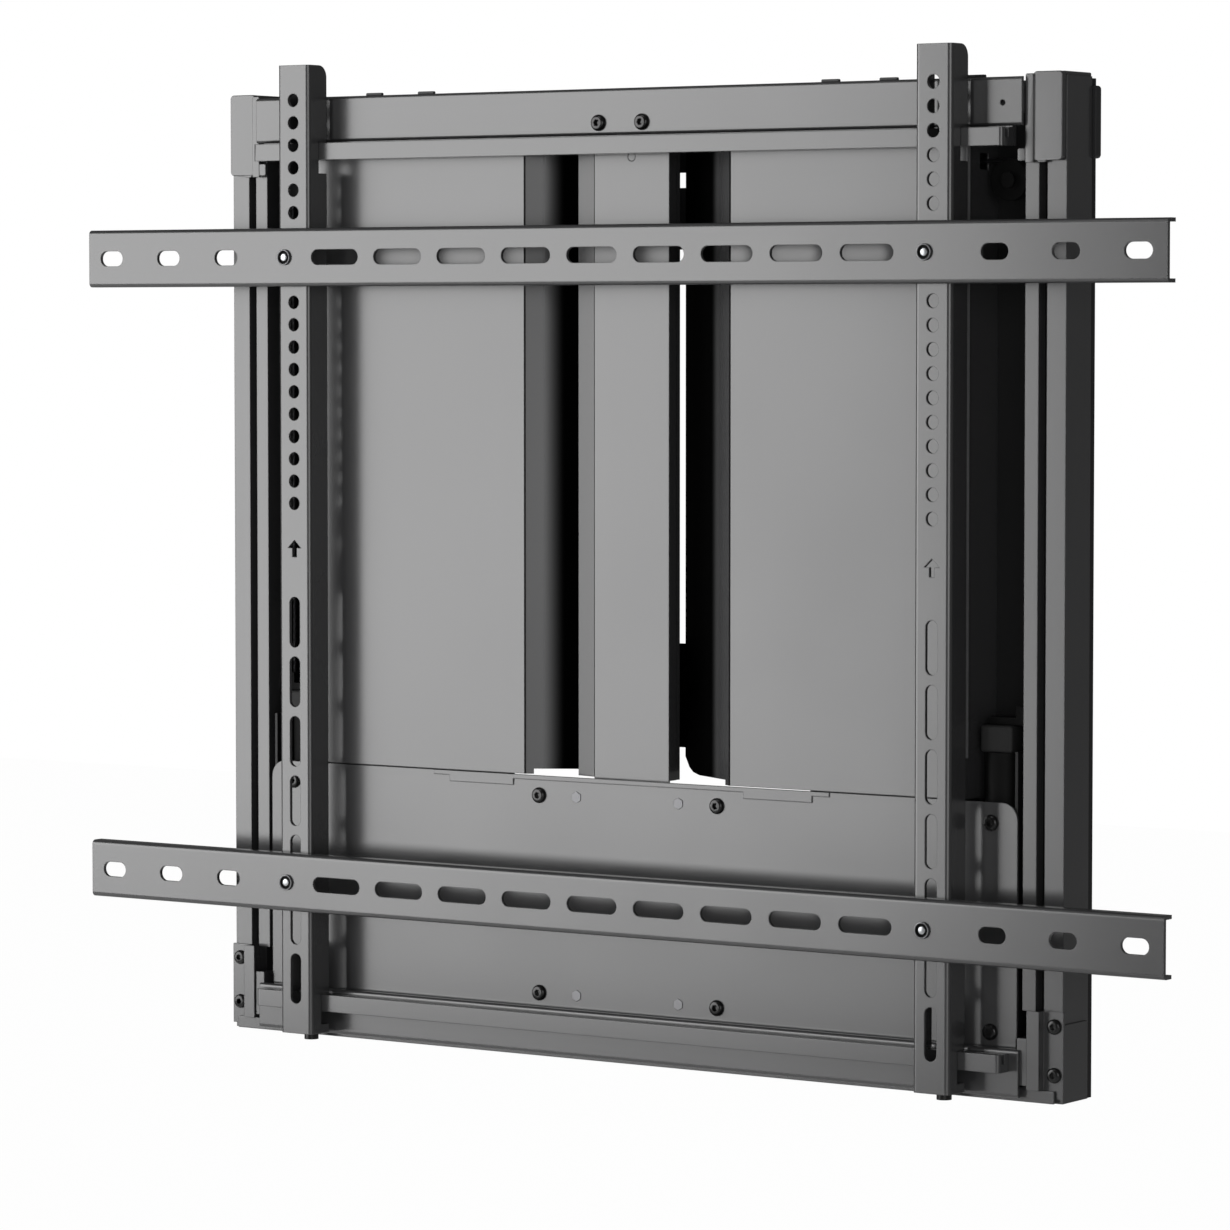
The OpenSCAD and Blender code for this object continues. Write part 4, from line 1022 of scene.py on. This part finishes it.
class WALLLIFT_OT_spindle(bpy.types.Operator):
    """Adjusting spindle with its thread, collars and hexagon head"""
    bl_idname = "walllift.spindle"
    bl_label = "Spindle"

    def execute(self, context):
        w = context.scene.wall_lift_works
        low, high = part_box("spindle")
        middle = (low + high) / 2
        core, root, end_chamfer = 5 * MM, 4.2 * MM, 0.5 * MM
        collar_tall, collar_radius, chamfer = 4 * MM, 8 * MM, 0.4 * MM
        head_tall, head_radius, head_rounding = 9 * MM, 7.5 * MM, 0.6 * MM
        foot_collar, head_collar = low.z + 14.3 * MM, high.z - 37.3 * MM - collar_tall
        start, end = foot_collar + collar_tall, head_collar

        def collar(z):
            """Profile of a collar with chamfered rims, from its lower face up."""
            return [(collar_radius - chamfer, z), (collar_radius, z + chamfer),
                    (collar_radius, z + collar_tall - chamfer), (collar_radius - chamfer, z + collar_tall)]

        bm = bmesh.new()
        axis_foot = Vector((middle.x, middle.y, 0))
        spun(bm, [(0, low.z), (core - end_chamfer, low.z), (core, low.z + end_chamfer), (core, foot_collar),
                  *collar(foot_collar), (root, start)], axis_foot, UP)
        spun(bm, [(root, end), *collar(head_collar), (core, end + collar_tall), (core, high.z - head_tall)],
             axis_foot, UP)
        # the section of the thread is one pitch tall, so the turns reach one pitch further than their rise
        turns = int((end - start) / w.thread_pitch)
        pitch = (end - start) / (turns + 1)
        thread = bmesh.new()
        verts = [thread.verts.new((middle.x + radius, middle.y, start + share * pitch))
                 for radius, share in ((root, 0.0), (core, 0.28), (core, 0.5), (root, 0.78), (root, 1.0))]
        for pair in zip(verts, verts[1:]):
            thread.edges.new(pair)
        add_turns(bm, thread, verts, middle, pitch, turns)
        made = bmesh.ops.create_cone(
            bm, cap_ends=True, radius1=head_radius, radius2=head_radius, depth=head_tall, segments=6,
            matrix=Matrix.Translation((middle.x, middle.y, high.z - head_tall / 2)))
        rims = [edge for edge in edges_of(made["verts"])
                if abs(edge.verts[0].co.z - edge.verts[1].co.z) < NEAR]
        round_edges(bm, rims, head_rounding)
        piece_from(bm, "spindle_thread", "spindle", "bright_steel", replaced=("spindle",))
        return {"FINISHED"}


class WALLLIFT_PT_panel(bpy.types.Panel):
    """Operators that dress the wall lift"""
    bl_label = "Wall lift"
    bl_idname = "WALLLIFT_PT_panel"
    bl_space_type = "VIEW_3D"
    bl_region_type = "UI"
    bl_category = "Wall lift"

    def draw(self, context):
        for operator in OPERATORS:
            self.layout.operator(operator.bl_idname)


PROPERTY_GROUPS = (WallLiftStage, WallLiftWorks, WallLiftFinish)
OPERATORS = (
    WALLLIFT_OT_stage, WALLLIFT_OT_finishes, WALLLIFT_OT_screws, WALLLIFT_OT_rail_screws,
    WALLLIFT_OT_seams, WALLLIFT_OT_plugs, WALLLIFT_OT_caps, WALLLIFT_OT_hook_ends, WALLLIFT_OT_bars,
    WALLLIFT_OT_springs, WALLLIFT_OT_cables, WALLLIFT_OT_spindle)
CLASSES = (*PROPERTY_GROUPS, *OPERATORS, WALLLIFT_PT_panel)


def register():
    for cls in CLASSES:
        bpy.utils.register_class(cls)
    bpy.types.Scene.wall_lift_stage = PointerProperty(type=WallLiftStage)
    bpy.types.Scene.wall_lift_works = PointerProperty(type=WallLiftWorks)
    bpy.types.Scene.wall_lift_finish = PointerProperty(type=WallLiftFinish)


def unregister():
    del bpy.types.Scene.wall_lift_finish
    del bpy.types.Scene.wall_lift_works
    del bpy.types.Scene.wall_lift_stage
    for cls in reversed(CLASSES):
        bpy.utils.unregister_class(cls)


def main():
    register()
    for operator in OPERATORS:
        group, name = operator.bl_idname.split(".")
        getattr(getattr(bpy.ops, group), name)()


if __name__ == "__main__":
    main()
